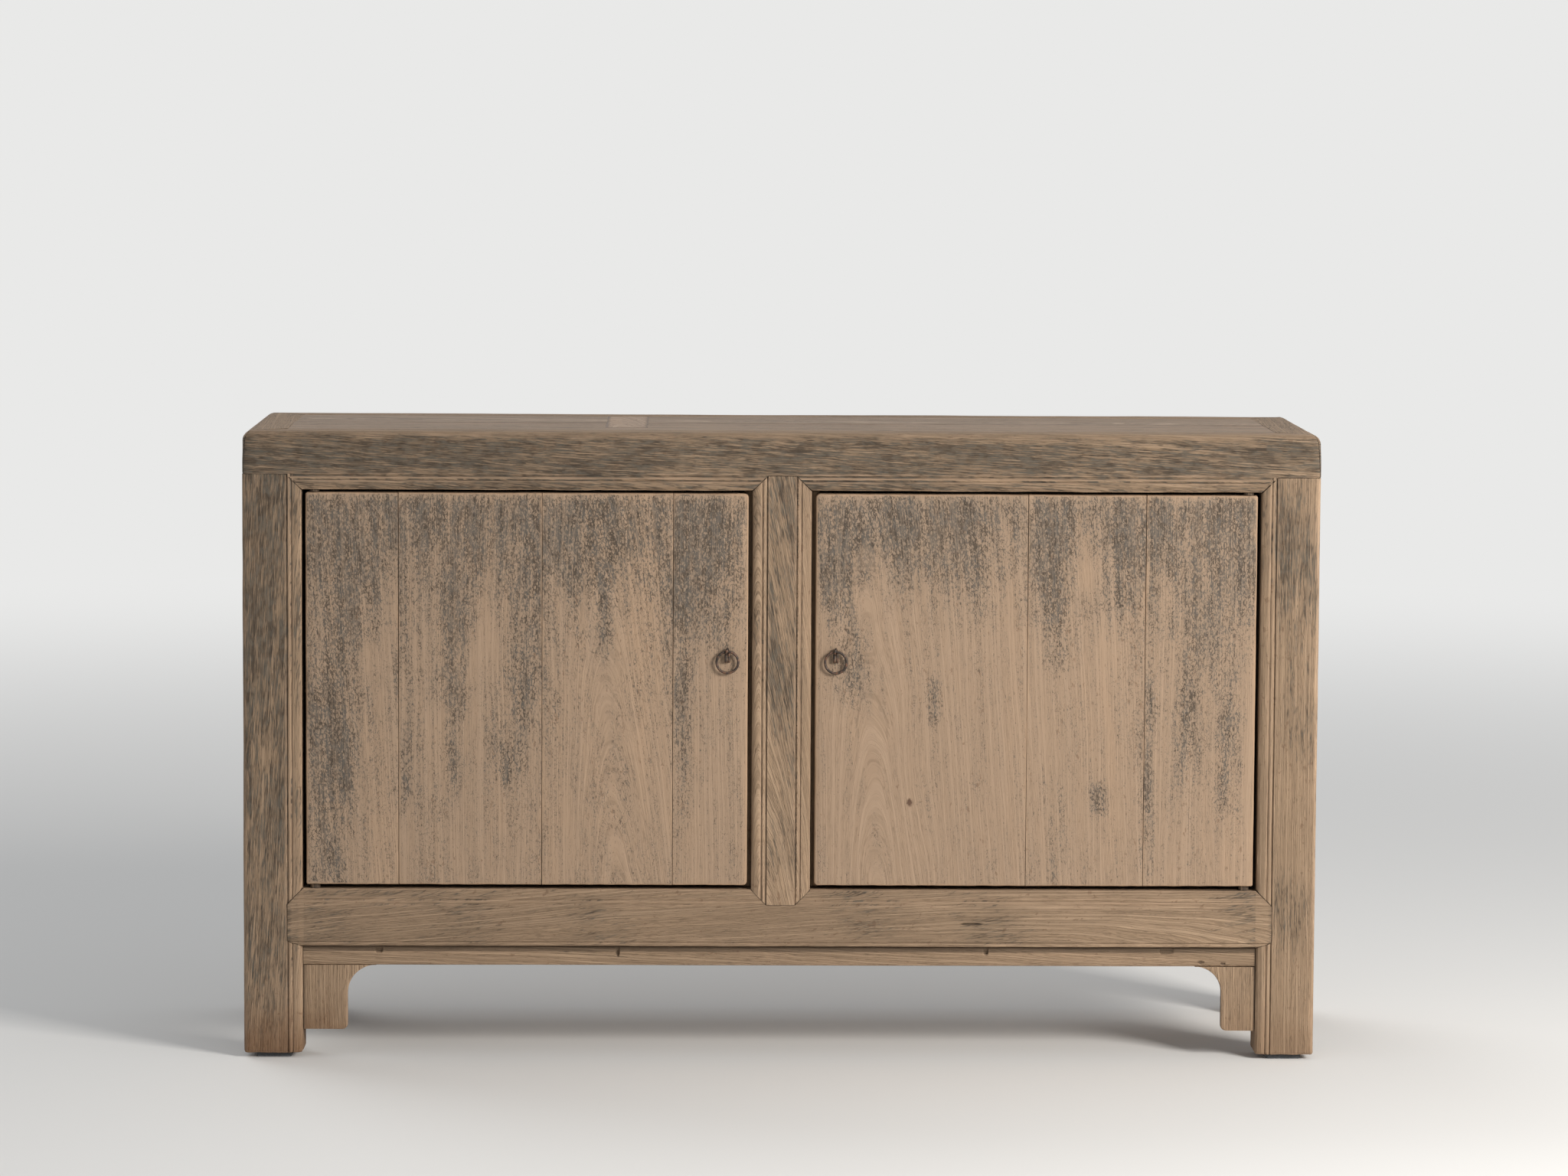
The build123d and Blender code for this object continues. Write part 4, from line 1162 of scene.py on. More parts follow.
@dataclass(frozen=True)
class FeltFinish:
    """Dark grey pressed felt."""

    dark: Paint = (58, 60, 62)
    light: Paint = (92, 94, 96)

    def build(self) -> bpy.types.Material:
        """Make the material.

        Returns:
            The material, named for its slot.
        """
        material, net = start_material(Finish.FELT.value)
        place = net.make("ShaderNodeTexCoord", output="Object")
        fuzz = net.noise(place, (900, 900, 1600), 5.0, 0.75)
        color = net.mix(net.step(fuzz, 0.35, 0.7), self.dark, self.light)
        net.surface(0.8, 0.0005, fuzz, {"Base Color": color, "Roughness": 0.95, "Sheen Weight": 0.3})
        return material


FINISHES = {
    Finish.FRAME: ElmFinish(
        Finish.FRAME, pale=(163, 138, 112), early=(155, 130, 104), line=(100, 81, 63), warm=(186, 156, 128),
        soot=(60, 52, 44), film=(92, 80, 67), stretch=22.0, fineness=380.0, lines=0.45, pores=0.4,
        fibre=0.19, warmth=0.4, bare=0.42, relief=0.75, rings=430.0),
    Finish.DOOR: ElmFinish(
        Finish.DOOR, pale=(158, 134, 111), early=(153, 129, 106), soot=(56, 49, 42), cool=(78, 75, 70),
        film=(108, 99, 89), lines=0.16, pores=0.26, fibre=0.12, relief=0.32, knot=(174.0, 0.0, 350.0, 5.0)),
    Finish.TOP: ElmFinish(
        Finish.TOP, pale=(166, 144, 122), early=(150, 128, 107), line=(104, 86, 70), warm=(172, 142, 116),
        stretch=22.0, fineness=330.0, roughness=0.68),
    Finish.SIDE: ElmFinish(Finish.SIDE, pale=(168, 142, 117), stretch=60.0),
    Finish.INNER: ElmFinish(
        Finish.INNER, pale=(176, 148, 118), early=(162, 133, 104), line=(116, 90, 66), residue=0.8,
        stretch=40.0),
    Finish.IRON: IronFinish(),
    Finish.FELT: FeltFinish(),
}


@functools.cache
def dress(finish: Finish) -> bpy.types.Material:
    """The material of a finish, made on first use."""
    return FINISHES[finish].build()


# ---------- residue over the cabinet
def ramp(values: Array, low: float, high: float) -> Array:
    """Smooth step over an array.

    Args:
        values: where it is read.
        low, high: where it leaves 0 and reaches 1.

    Returns:
        Values from 0 to 1.
    """
    t = np.clip((values - low) / (high - low), 0, 1)
    return t * t * (3 - 2 * t)


@dataclass(frozen=True)
class Stain:
    """A soft upright patch of residue: centre, half width, half height and strength."""

    x: float
    z: float
    half_width: float
    half_height: float
    strength: float


@dataclass(frozen=True)
class DoorResidue:
    """Residue of one door: a band along the top and stains that have run down from it."""

    stains: tuple[Stain, ...]
    band_foot: float = 570.0
    band_head: float = 770.0
    band: float = 0.72
    base: float = 0.15
    head: float = 768.0
    rubbed: float = 0.55  # share that is rubbed off the top edge

    def __call__(self, points: Array) -> Array:
        """Density of the residue at each point.

        Args:
            points: points of the door.

        Returns:
            Density at each point.
        """
        x, z = points[:, 0], points[:, 2]
        clear = 1 - self.base
        wave = 22 * np.sin(x / 31.0) + 14 * np.sin(x / 11.3 + 1.3)
        clear = clear * (1 - self.band * ramp(z + wave, self.band_foot, self.band_head))
        for stain in self.stains:
            across = (x - stain.x) / stain.half_width
            along = (z - stain.z) / stain.half_height
            clear = clear * (1 - stain.strength * np.exp(-(across**2) - along**4))
        near_head = ramp(z, self.head - 16, self.head - 3)
        return (1 - clear) * (1 - self.rubbed * near_head)


LEFT_DOOR_RESIDUE = DoorResidue(stains=(
    Stain(-598, 590, 38, 170, 0.5), Stain(-602, 430, 30, 85, 0.6), Stain(-614, 320, 34, 120, 0.45),
    Stain(-502, 392, 14, 66, 0.55), Stain(-508, 560, 26, 90, 0.3), Stain(-440, 560, 18, 165, 0.65),
    Stain(-345, 565, 30, 105, 0.55), Stain(-368, 425, 20, 52, 0.4), Stain(-243, 615, 16, 75, 0.5),
    Stain(-138, 585, 15, 150, 0.55), Stain(-85, 650, 32, 100, 0.4), Stain(-300, 690, 60, 60, 0.3)))
RIGHT_DOOR_RESIDUE = DoorResidue(
    stains=(
        Stain(138, 715, 85, 70, 0.35), Stain(70, 690, 22, 75, 0.4), Stain(92, 545, 28, 60, 0.35),
        Stain(206, 490, 10, 32, 0.45), Stain(363, 655, 28, 115, 0.5), Stain(365, 315, 18, 75, 0.25),
        Stain(411, 690, 18, 55, -0.8), Stain(428, 355, 12, 22, 0.4), Stain(451, 690, 14, 95, 0.4),
        Stain(565, 645, 65, 120, 0.45), Stain(545, 455, 26, 85, 0.38), Stain(605, 440, 18, 100, 0.45),
        Stain(496, 400, 10, 130, 0.5),
    ),
    base=0.1,
    band=0.62,
)


def frame_residue(points: Array) -> Array:
    """Residue of the face frame: heavy at the top and the left, light on the moulding and bottom rail.

    Args:
        points: points of the frame.

    Returns:
        Density at each point.
    """
    x, z = points[:, 0], points[:, 2]
    off_middle = np.abs(x)
    leftward = ramp(-x, -300, 600)
    upright = 0.10 + 0.45 * leftward + 0.25 * ramp(z, 400, 720)
    rail = 0.04 + 0.2 * ramp(np.abs(x - 80), 380, 620)
    density = np.where((z > 240) | (off_middle > 650), upright, rail)
    wave = (0.14 - 0.07 * leftward) * (np.sin(x / 83.0 + z / 37.0) + np.sin(x / 29.0 + z / 91.0 + 2.0))
    moulding = ((off_middle > 644) & (off_middle < 664)) | ((off_middle > 21) & (off_middle < 41))
    foot = 1 - ramp(z, 40, 200)
    return density + wave - 0.34 * moulding - 0.2 * foot


def top_rail_residue(points: Array) -> Array:
    """Residue of the top frame's faces: a dark band that stays off the rim and the moulding.

    Args:
        points: points of the frame.

    Returns:
        Density at each point.
    """
    x, z = points[:, 0], points[:, 2]
    foot = 9 * np.sin(x / 63.0) + 5 * np.sin(x / 23.0)
    band = ramp(z + foot, 784, 804) * (1 - ramp(z, 826, 848))
    wave = 0.17 * np.sin(x / 97.0 + 0.8) + 0.14 * np.sin(x / 41.0) + 0.08 * np.sin(x / 17.0)
    above_moulding, rim = ramp(z, 790, 800), ramp(z, 838, 849)
    return 0.5 - 0.16 * above_moulding - 0.2 * rim + band * (0.5 + wave)


# ---------- the cabinet
@dataclass(frozen=True)
class Case:
    """Sizes that the sub-assemblies share, in the same frame as the solids."""

    half_width: float = 725.0
    front: float = -207.25
    depth: float = 420.0
    top: float = 850.0
    foot: float = 6.0
    post_width: float = 80.0
    post_depth: float = 62.0
    rail_width: float = 58.0
    rail_thickness: float = 58.0
    opening_edge: float = 645.0
    opening_bottom: float = 231.0
    opening_top: float = 771.0
    rail_base: float = 153.0
    small_bead: float = 7.0
    mullion_half: float = 40.0
    mullion_depth: float = 28.0
    lap: float = 12.0
    corner_radius: float = 6.0
    corner_growth: float = 8.0  # how much wider the rounding is at the top

    @property
    def rear(self) -> float:
        """Back face."""
        return self.front + self.depth

    @property
    def between_posts(self) -> tuple[float, float]:
        """Limits along Y between the front and the rear posts."""
        return self.front + self.post_depth, self.rear - self.post_depth

    @property
    def post_top(self) -> float:
        """Where the posts meet the top frame."""
        return self.top - self.rail_thickness

    def round_corners(self, points: Array) -> Array:
        """Round the upright corners in plan, more towards the top.

        Args:
            points: points of a timber.

        Returns:
            The points drawn in at the corners.
        """
        out = points.copy()
        x, y, z = points.T
        middle = (self.front + self.rear) / 2
        radius = self.corner_radius + self.corner_growth * ramp(z, self.post_top, self.top)
        u = radius - (self.half_width - np.abs(x))
        v = radius - (self.depth / 2 - np.abs(y - middle))
        near = (u > 0) & (v > 0)
        shrink = np.where(near, np.maximum(u, v) / np.maximum(np.hypot(u, v), 1e-6), 1.0)
        drawn_x = np.sign(x) * (self.half_width - radius + u * shrink)
        drawn_y = middle + np.sign(y - middle) * (self.depth / 2 - radius + v * shrink)
        out[:, 0] = np.where(near, drawn_x, x)
        out[:, 1] = np.where(near, drawn_y, y)
        return out


SIDES = {-1: "left", 1: "right"}


def plank(name: str, x: Sequence[float], y: Sequence[float], z: Sequence[float], grain: str, finish: Finish,
          body: str = CASE, radius: float = 1.2, sawn: Sawn = Sawn.QUARTER,
          residue: Field | float = PLAIN_RESIDUE, seam: float = 0.0, **wear: float) -> bpy.types.Object:
    """Make a plain timber between limits.

    Args:
        name: piece name.
        x, y, z: limits along each axis.
        grain: axis of the grain, x, y or z.
        finish: material slot.
        body: the body that it moves with.
        radius: rounding of its arrises.
        sawn: cut of the log.
        residue: density of the residue.
        seam: dirt held along its arrises.
        wear: further fields of the timber.

    Returns:
        The finished object.
    """
    limits = {"x": x, "y": y, "z": z}
    size = {key: high - low for key, (low, high) in limits.items()}
    unit = {"x": X, "y": Y, "z": Z}
    face, across = sorted((key for key in "xyz" if key != grain), key=lambda key: size[key])
    axes = Axes((x[0], y[0], z[0]), unit[grain], unit[across], unit[face])
    radius = min(radius, size[face] / 3, size[across] / 3)
    timber = Timber(name, finish, axes, sawn, body, residue, **wear)
    section = draw_rectangle(size[across], size[face], [radius] * 4)
    section[section[:, 2] > 0.4, 3] = seam
    timber.skin.plank(section, size[grain], radius, seam)
    return timber.make()


@dataclass
class FaceFrame:
    """Front posts, bottom rail and mullion, joined with shouldered and mitred laps."""

    case: Case = Case()
    bottom_depth: float = 50.0
    outer_radius: float = 6.0
    back_radius: float = 2.0
    rail_quirks: float = 0.25
    foot_ease: float = 3.0
    cracks: tuple[Chip, ...] = (Chip(258, 185, 15, 1.6, 2.2),)

    def build(self) -> None:
        """Make the four members."""
        for side in SIDES:
            self.post(side)
        self.bottom_rail()
        self.mullion()

    def sink(self, section: Array) -> Array:
        """Sink the moulded band of a section to the depth of a lap.

        Args:
            section: rows of (across, depth, edge, grime).

        Returns:
            The sunk section.
        """
        sunk = section.copy()
        inside = (section[:, 0] < MOULDING.width - 0.01) & (section[:, 1] < self.case.lap)
        sunk[inside, 1] = self.case.lap
        return sunk

    def post(self, side: int) -> None:
        """Make one front post, from its foot to the top frame.

        Args:
            side: -1 for the left and 1 for the right.
        """
        case = self.case
        width, depth = case.post_width, case.post_depth
        pen = Pen()
        pen.rows += MOULDING.rows()
        pen.corner(width, 0, self.outer_radius, RIGHT, DEEPER, 0.6)
        pen.corner(width, depth, self.back_radius, DEEPER, LEFT, 0.6)
        pen.corner(0, depth, self.back_radius, LEFT, OUTWARDS, 0.5)
        pen.run(0, case.lap + 0.5)
        section = pen.close()
        sunk = self.sink(section)
        s = np.minimum(section[:, 0], MOULDING.width)
        low = case.rail_base + s / 3
        high = case.opening_bottom - s
        crown = case.opening_top + s
        axes = Axes((side * case.opening_edge, case.front, 0.0), Z, (side, 0, 0), Y)
        sawn = Sawn.RIFT if side < 0 else Sawn.QUARTER
        timber = Timber(f"front_{SIDES[side]}_post", Finish.FRAME, axes, sawn,
                        residue=frame_residue, arris_wear=1.5, undulation=0.6)
        skin, ease = timber.skin, self.foot_ease
        for angle in (0.0, 0.5, 1.0, pi / 2):
            skin.station(case.foot + ease * (1 - cos(angle)), section, ease * (1 - sin(angle)), 0.8, 0.2)
        band = sunk[:, 1] > section[:, 1] + 1
        skin.span(section, case.foot + ease + 0.5, low, (0.0, 0.8), band)
        skin.span(sunk, low, high, (1.0, 1.0), band)
        skin.span(section, high, crown, (0.8, 0.8), band)
        skin.span(sunk, crown, case.post_top, (1.0, 1.0), band)
        timber.make()

    def bottom_rail(self) -> None:
        """Make the bottom front rail with its moulded upper edge, small bead and laps."""
        case = self.case
        height, depth = case.opening_bottom - case.rail_base, self.bottom_depth
        pen = Pen()
        pen.rows += MOULDING.rows(self.rail_quirks)
        for crack in self.cracks:
            middle = case.opening_bottom - crack.z
            pen.run(middle - 4, 0)
            for across in np.linspace(middle - 3, middle + 3, 7):
                pen.point(across, 0)
        pen.run(height - case.small_bead, 0, 0.4, 0.1)
        pen.point(height - 6.2, 1.4, 0, 0.55)
        for across, sunk in arc_through((height - 5.4, 0.6), (height - 3.4, 0.25), (height, 3.6), 5):
            pen.point(across, sunk, 0.5)
        pen.run(height, case.lap).run(height, depth, 0.3).run(0, depth, 0.3).run(0, case.lap + 0.5)
        section = pen.close()
        sunk = self.sink(section)
        s = section[:, 0]
        lap_section = section.copy()
        lap_section[:, 1] = np.minimum(section[:, 1], case.lap)
        reach = np.minimum(np.minimum(s, MOULDING.width), np.maximum(height - s, 0) * 3)
        notch = case.mullion_half - np.minimum(s, MOULDING.width)
        edge = case.opening_edge
        axes = Axes((0.0, case.front, case.opening_bottom), X, (0, 0, -1), Y)
        timber = Timber("bottom_front_rail", Finish.FRAME, axes, Sawn.SLANTED,
                        residue=frame_residue, arris_wear=0.9, undulation=0.6, chips=self.cracks)
        close = [crack.reach() for crack in self.cracks]
        skin = timber.skin
        band = sunk[:, 1] > section[:, 1] + 1
        skin.span(lap_section, -edge - reach, -edge + 0 * s, (0.8, 0.0))
        skin.span(section, -edge + 0 * s, -notch, (0.0, 0.8), band)
        skin.span(sunk, -notch, notch, (1.0, 1.0), band)
        skin.span(section, notch, edge + 0 * s, (0.8, 0.0), band, close)
        skin.span(lap_section, edge + 0 * s, edge + reach, (0.0, 0.8))
        timber.make()

    def mullion(self) -> None:
        """Make the centre mullion, moulded on both sides, with a pointed lap at each end."""
        case = self.case
        half, depth = case.mullion_half, case.mullion_depth
        rows = MOULDING.rows()
        pen = Pen()
        for across, *rest in rows:
            pen.point(across - half, *rest)
        pen.run(half - MOULDING.width, 0, rows[-1][2], rows[-1][3])
        for across, *rest in reversed(rows[:-1]):
            pen.point(half - across, *rest)
        pen.run(half, case.lap).run(half, depth, 0.2).run(-half, depth, 0.2).run(-half, case.lap)
        section = pen.close()
        lap_section = section.copy()
        lap_section[:, 1] = np.minimum(section[:, 1], case.lap)
        point = np.minimum(half - np.abs(section[:, 0]), MOULDING.width)
        axes = Axes((0.0, case.front, 0.0), Z, X, Y)
        timber = Timber("centre_mullion", Finish.FRAME, axes, Sawn.HEART,
                        residue=frame_residue, arris_wear=1.1, undulation=0.5)
        skin = timber.skin
        low, high = case.opening_bottom + 0 * point, case.opening_top + 0 * point
        skin.span(lap_section, low - point, low, (0.8, 0.0))
        skin.span(section, low, high)
        skin.span(lap_section, high, high + point, (0.0, 0.8))
        timber.make()


@dataclass
class TopFrame:
    """Mitred frame of the top with its floating boards, patch and battens."""

    case: Case = Case()
    rim_radius: float = 13.0
    board_thickness: float = 18.0
    tongue: float = 7.2
    patch_left: float = -240.0
    patch_width: float = 59.0
    batten_half: float = 17.0
    batten_drop: float = 44.0
    plain_edge: tuple[Row, ...] = ((0, 1.0, 0.2, 0.4), (1.0, 0.0, 0.2, 0.1))

    def build(self) -> None:
        """Make the frame, the boards and what holds them."""
        case = self.case
        self.front_rail()
        axes = Axes((0.0, case.rear, case.post_top), X, Z, (0, -1, 0))
        self.plain_rail("top_rear_rail", axes, -case.half_width, case.half_width, Sawn.QUARTER, 0.7)
        for side, word in SIDES.items():
            axes = Axes((side * case.half_width, 0.0, case.post_top), Y, Z, (-side, 0, 0))
            self.plain_rail(f"top_{word}_end_rail", axes, case.front, case.rear, Sawn.FLAT, 0.6)
        self.boards()
        self.battens()

    def rim_section(self, lower: Sequence[Row], height: float) -> Array:
        """Section of a rail of the top frame.

        Args:
            lower: points of its outer lower part, upwards, across being height above its lowest point.
            height: height of its top above its lowest point.

        Returns:
            The closed section, with depth from the outer face.
        """
        width = self.case.rail_width
        pen = Pen()
        pen.rows += lower
        pen.corner(height, 0, self.rim_radius, RIGHT, DEEPER, 0.35, 8)
        pen.corner(height, width, 0.6, DEEPER, LEFT, 0.2, 2)
        pen.run(height - self.case.rail_thickness, width)
        if height > self.case.rail_thickness:
            pen.run(0, width)
        return pen.close()

    def front_rail(self) -> None:
        """Make the front rail, with its moulded skirt over the doors."""
        case = self.case
        skirt = case.post_top - case.opening_top
        section = self.rim_section(MOULDING.rows(0.7), case.top - case.opening_top)
        s, d = section[:, 0], section[:, 1]
        edge = case.opening_edge
        below = s < skirt - 0.01
        in_lap = d < case.lap
        first = edge + np.where(in_lap, np.minimum(s, MOULDING.width), 0.0)
        first = np.where(below, first, edge + MOULDING.width)
        raised = section.copy()
        raised[below, 0] = skirt
        raised[below & in_lap, 1] = MOULDING.drop * (1 - s[below & in_lap] / MOULDING.width)
        mitre = case.half_width - d
        flat = edge + MOULDING.width + 0 * s
        notch = case.mullion_half - np.minimum(s, MOULDING.width)
        sunk = section.copy()
        band = below & in_lap
        sunk[band, 1] = case.lap
        axes = Axes((0.0, case.front, case.opening_top), X, Z, Y)
        timber = Timber("top_front_rail", Finish.FRAME, axes, Sawn.RIFT,
                        residue=top_rail_residue, arris_wear=1.2, undulation=0.7, shape=case.round_corners)
        skin = timber.skin
        skin.span(raised, -mitre, -flat, (0.7, 0.0))
        skin.station(-first, raised)
        skin.span(section, -first, -notch, (0.5, 0.8), band)
        skin.span(sunk, -notch, notch, (1.0, 1.0), band)
        skin.span(section, notch, first, (0.8, 0.5), band)
        skin.station(first, raised)
        skin.span(raised, flat, mitre, (0.0, 0.7))
        timber.make()

    def plain_rail(self, name: str, axes: Axes, low: float, high: float, sawn: Sawn,
                   undulation: float) -> None:
        """Make a mitred rail with no moulding.

        Args:
            name: node and piece.
            axes: where it lies.
            low, high: limits along it.
            sawn: cut of the log.
            undulation: unevenness of its faces.
        """
        section = self.rim_section(self.plain_edge, self.case.rail_thickness)
        timber = Timber(name, Finish.FRAME, axes, sawn, residue=top_rail_residue, arris_wear=1.2,
                        undulation=undulation, shape=self.case.round_corners)
        timber.skin.span(section, low + section[:, 1], high - section[:, 1], (0.9, 0.9))
        timber.make()

    def boards(self) -> None:
        """Make the two boards of the panel and the patch let into them."""
        case = self.case
        inner_x = case.half_width - case.rail_width + self.tongue
        inner = case.rail_width - self.tongue
        seam = (case.front + case.rear) / 2
        z = (case.top - self.board_thickness, case.top - 0.45)
        for name, y, sawn in (("top_front_board", (case.front + inner, seam), Sawn.RIFT),
                              ("top_rear_board", (seam, case.rear - inner), Sawn.FLAT)):
            plank(name, (-inner_x, inner_x), y, z, "x", Finish.TOP, radius=0.5, sawn=sawn, seam=0.7,
                  residue=0.16, undulation=0.4)
        plank("top_patch", (self.patch_left, self.patch_left + self.patch_width), limits_of("top_patch")[1],
              (case.top - 5, case.top - 0.1), "y", Finish.TOP, radius=0.9, sawn=Sawn.HEART,
              residue=0.0, undulation=0.2, tone=1.1, seam=1.0)

    def battens(self) -> None:
        """Make the three battens under the panel."""
        case = self.case
        for place in ("left", "centre", "right"):
            name = f"top_batten_{place}"
            middle = sum(limits_of(name)[0]) / 2
            plank(name, (middle - self.batten_half, middle + self.batten_half),
                  (case.front + case.rail_width, case.rear - case.rail_width),
                  (case.top - self.batten_drop, case.top - self.board_thickness), "y", Finish.INNER,
                  radius=2.0)


@dataclass
class Carcass:
    """Rear posts, rails, wall boards, floor, shelf and door stop."""

    case: Case = Case()
    seam_lap: float = 0.6
    side_rail_depth: float = 40.0
    rear_rail_depth: float = 50.0

    def build(self) -> None:
        """Make every piece behind the face frame."""
        self.rear_posts()
        self.rails()
        self.walls()
        self.floor()
        self.shelf()

    def rear_posts(self) -> None:
        """Make the rear posts and the rear muntin."""
        case = self.case
        for side in SIDES:
            section = draw_rectangle(case.post_width, case.post_depth, (2.0, 2.0, case.corner_radius, 2.0))
            origin = (side * case.opening_edge, case.rear - case.post_depth, case.foot)
            axes = Axes(origin, Z, (side, 0, 0), Y)
            timber = Timber(f"rear_{SIDES[side]}_post", Finish.FRAME, axes, Sawn.QUARTER,
                            residue=frame_residue, arris_wear=1.3, undulation=0.6)
            timber.skin.plank(section, case.post_top - case.foot, 2.0)
            timber.make()
        plank("rear_muntin", (-30, 30), (case.rear - 34, case.rear), (case.opening_bottom, case.post_top),
              "z", Finish.FRAME, radius=1.5, residue=frame_residue)

    def rails(self) -> None:
        """Make the bottom rails at the sides and the back."""
        case = self.case
        z = (case.rail_base, case.opening_bottom)
        for side in SIDES:
            x = sorted((side * (case.half_width - self.side_rail_depth), side * case.half_width))
            plank(f"bottom_{SIDES[side]}_rail", x, case.between_posts, z, "y", Finish.FRAME, radius=1.8,
                  residue=frame_residue)
        plank("bottom_rear_rail", (-case.opening_edge, case.opening_edge),
              (case.rear - self.rear_rail_depth, case.rear), z, "x", Finish.FRAME, radius=1.8,
              residue=frame_residue, sawn=Sawn.RIFT)

    def walls(self) -> None:
        """Make the side and back boards."""
        for side in SIDES.values():
            for place, sawn in (("front", Sawn.RIFT), ("rear", Sawn.FLAT)):
                self.from_solid(
                    f"{side}_side_{place}_board", "z", Finish.SIDE, sawn, 0.3, (0.0, self.seam_lap, 0.0))
            for place, sawn in (("outer", Sawn.FLAT), ("inner", Sawn.QUARTER)):
                self.from_solid(
                    f"back_{side}_{place}_board", "z", Finish.INNER, sawn, 0.25, (self.seam_lap, 0.0, 0.0))
        self.from_solid("door_stop", "z", Finish.INNER, Sawn.QUARTER, 0.1, radius=2.5)

    def from_solid(self, name: str, grain: str, finish: Finish, sawn: Sawn, residue: float,
                   lap: Sequence[float] = (0.0, 0.0, 0.0), **wear: float) -> None:
        """Make a plain timber that fills the box of its solid.

        Args:
            name: node and piece.
            grain: axis of the grain.
            finish: material slot.
            sawn: cut of the log.
            residue: density of the residue.
            lap: how far it grows along each axis, to lap its neighbours and stay light-tight.
            wear: further fields of the timber.
        """
        limits = [(low - more, high + more) for (low, high), more in zip(limits_of(name), lap)]
        plank(name, *limits, grain, finish, sawn=sawn, residue=residue, **wear)

    def notched(self, name: str, sawn: Sawn, front_notch: float | None, rear_notch: float | None) -> None:
        """Make a board along X that is notched round the posts.

        Args:
            name: node and piece.
            sawn: cut of the log.
            front_notch, rear_notch: where its front or rear edge lies beside the posts, if notched.
        """
        x, y, z = limits_of(name)
        section = draw_rectangle(y[1] - y[0], z[1] - z[0], [0.8] * 4)
        narrow = section.copy()
        if front_notch is not None:
            narrow[:, 0] = np.maximum(narrow[:, 0], front_notch - y[0])
        if rear_notch is not None:
            narrow[:, 0] = np.minimum(narrow[:, 0], rear_notch - y[0])
        notch = self.case.opening_edge - 0.6
        axes = Axes((0.0, y[0], z[1]), X, Y, (0, 0, -1))
        timber = Timber(name, Finish.INNER, axes, sawn, residue=0.15)
        timber.skin.span(narrow, x[0], -notch)
        timber.skin.span(section, -notch, notch)
        timber.skin.span(narrow, notch, x[1])
        timber.make()

    def floor(self) -> None:
        """Make the floor boards and their bearers."""
        case = self.case
        front, rear = case.between_posts
        self.notched("floor_front_board", Sawn.QUARTER, front + 0.8, None)
        self.from_solid("floor_middle_board", "x", Finish.INNER, Sawn.FLAT, 0.15)
        self.notched("floor_rear_board", Sawn.RIFT, None, rear - 0.8)
        for side in SIDES.values():
            self.between_rails(f"floor_bearer_{side}", case.front + 50, case.rear - 50)

    def between_rails(self, name: str, front: float, rear: float) -> None:
        """Make a bearer along Y without its hidden tenons.

        Args:
            name: node and piece.
            front, rear: its limits along Y.
        """
        x, _, z = limits_of(name)
        plank(name, x, (front, rear), z, "y", Finish.INNER, radius=1.5, residue=0.1)

    def shelf(self) -> None:
        """Make the shelf, its cleats and its centre bearer."""
        case = self.case
        self.from_solid("shelf_front_board", "x", Finish.INNER, Sawn.FLAT, 0.12)
        self.notched("shelf_rear_board", Sawn.QUARTER, None, case.between_posts[1] - 0.5)
        for side in SIDES.values():
            self.between_rails(f"shelf_cleat_{side}", *case.between_posts)
        self.between_rails("shelf_centre_bearer", case.front + 42, case.rear - 34)


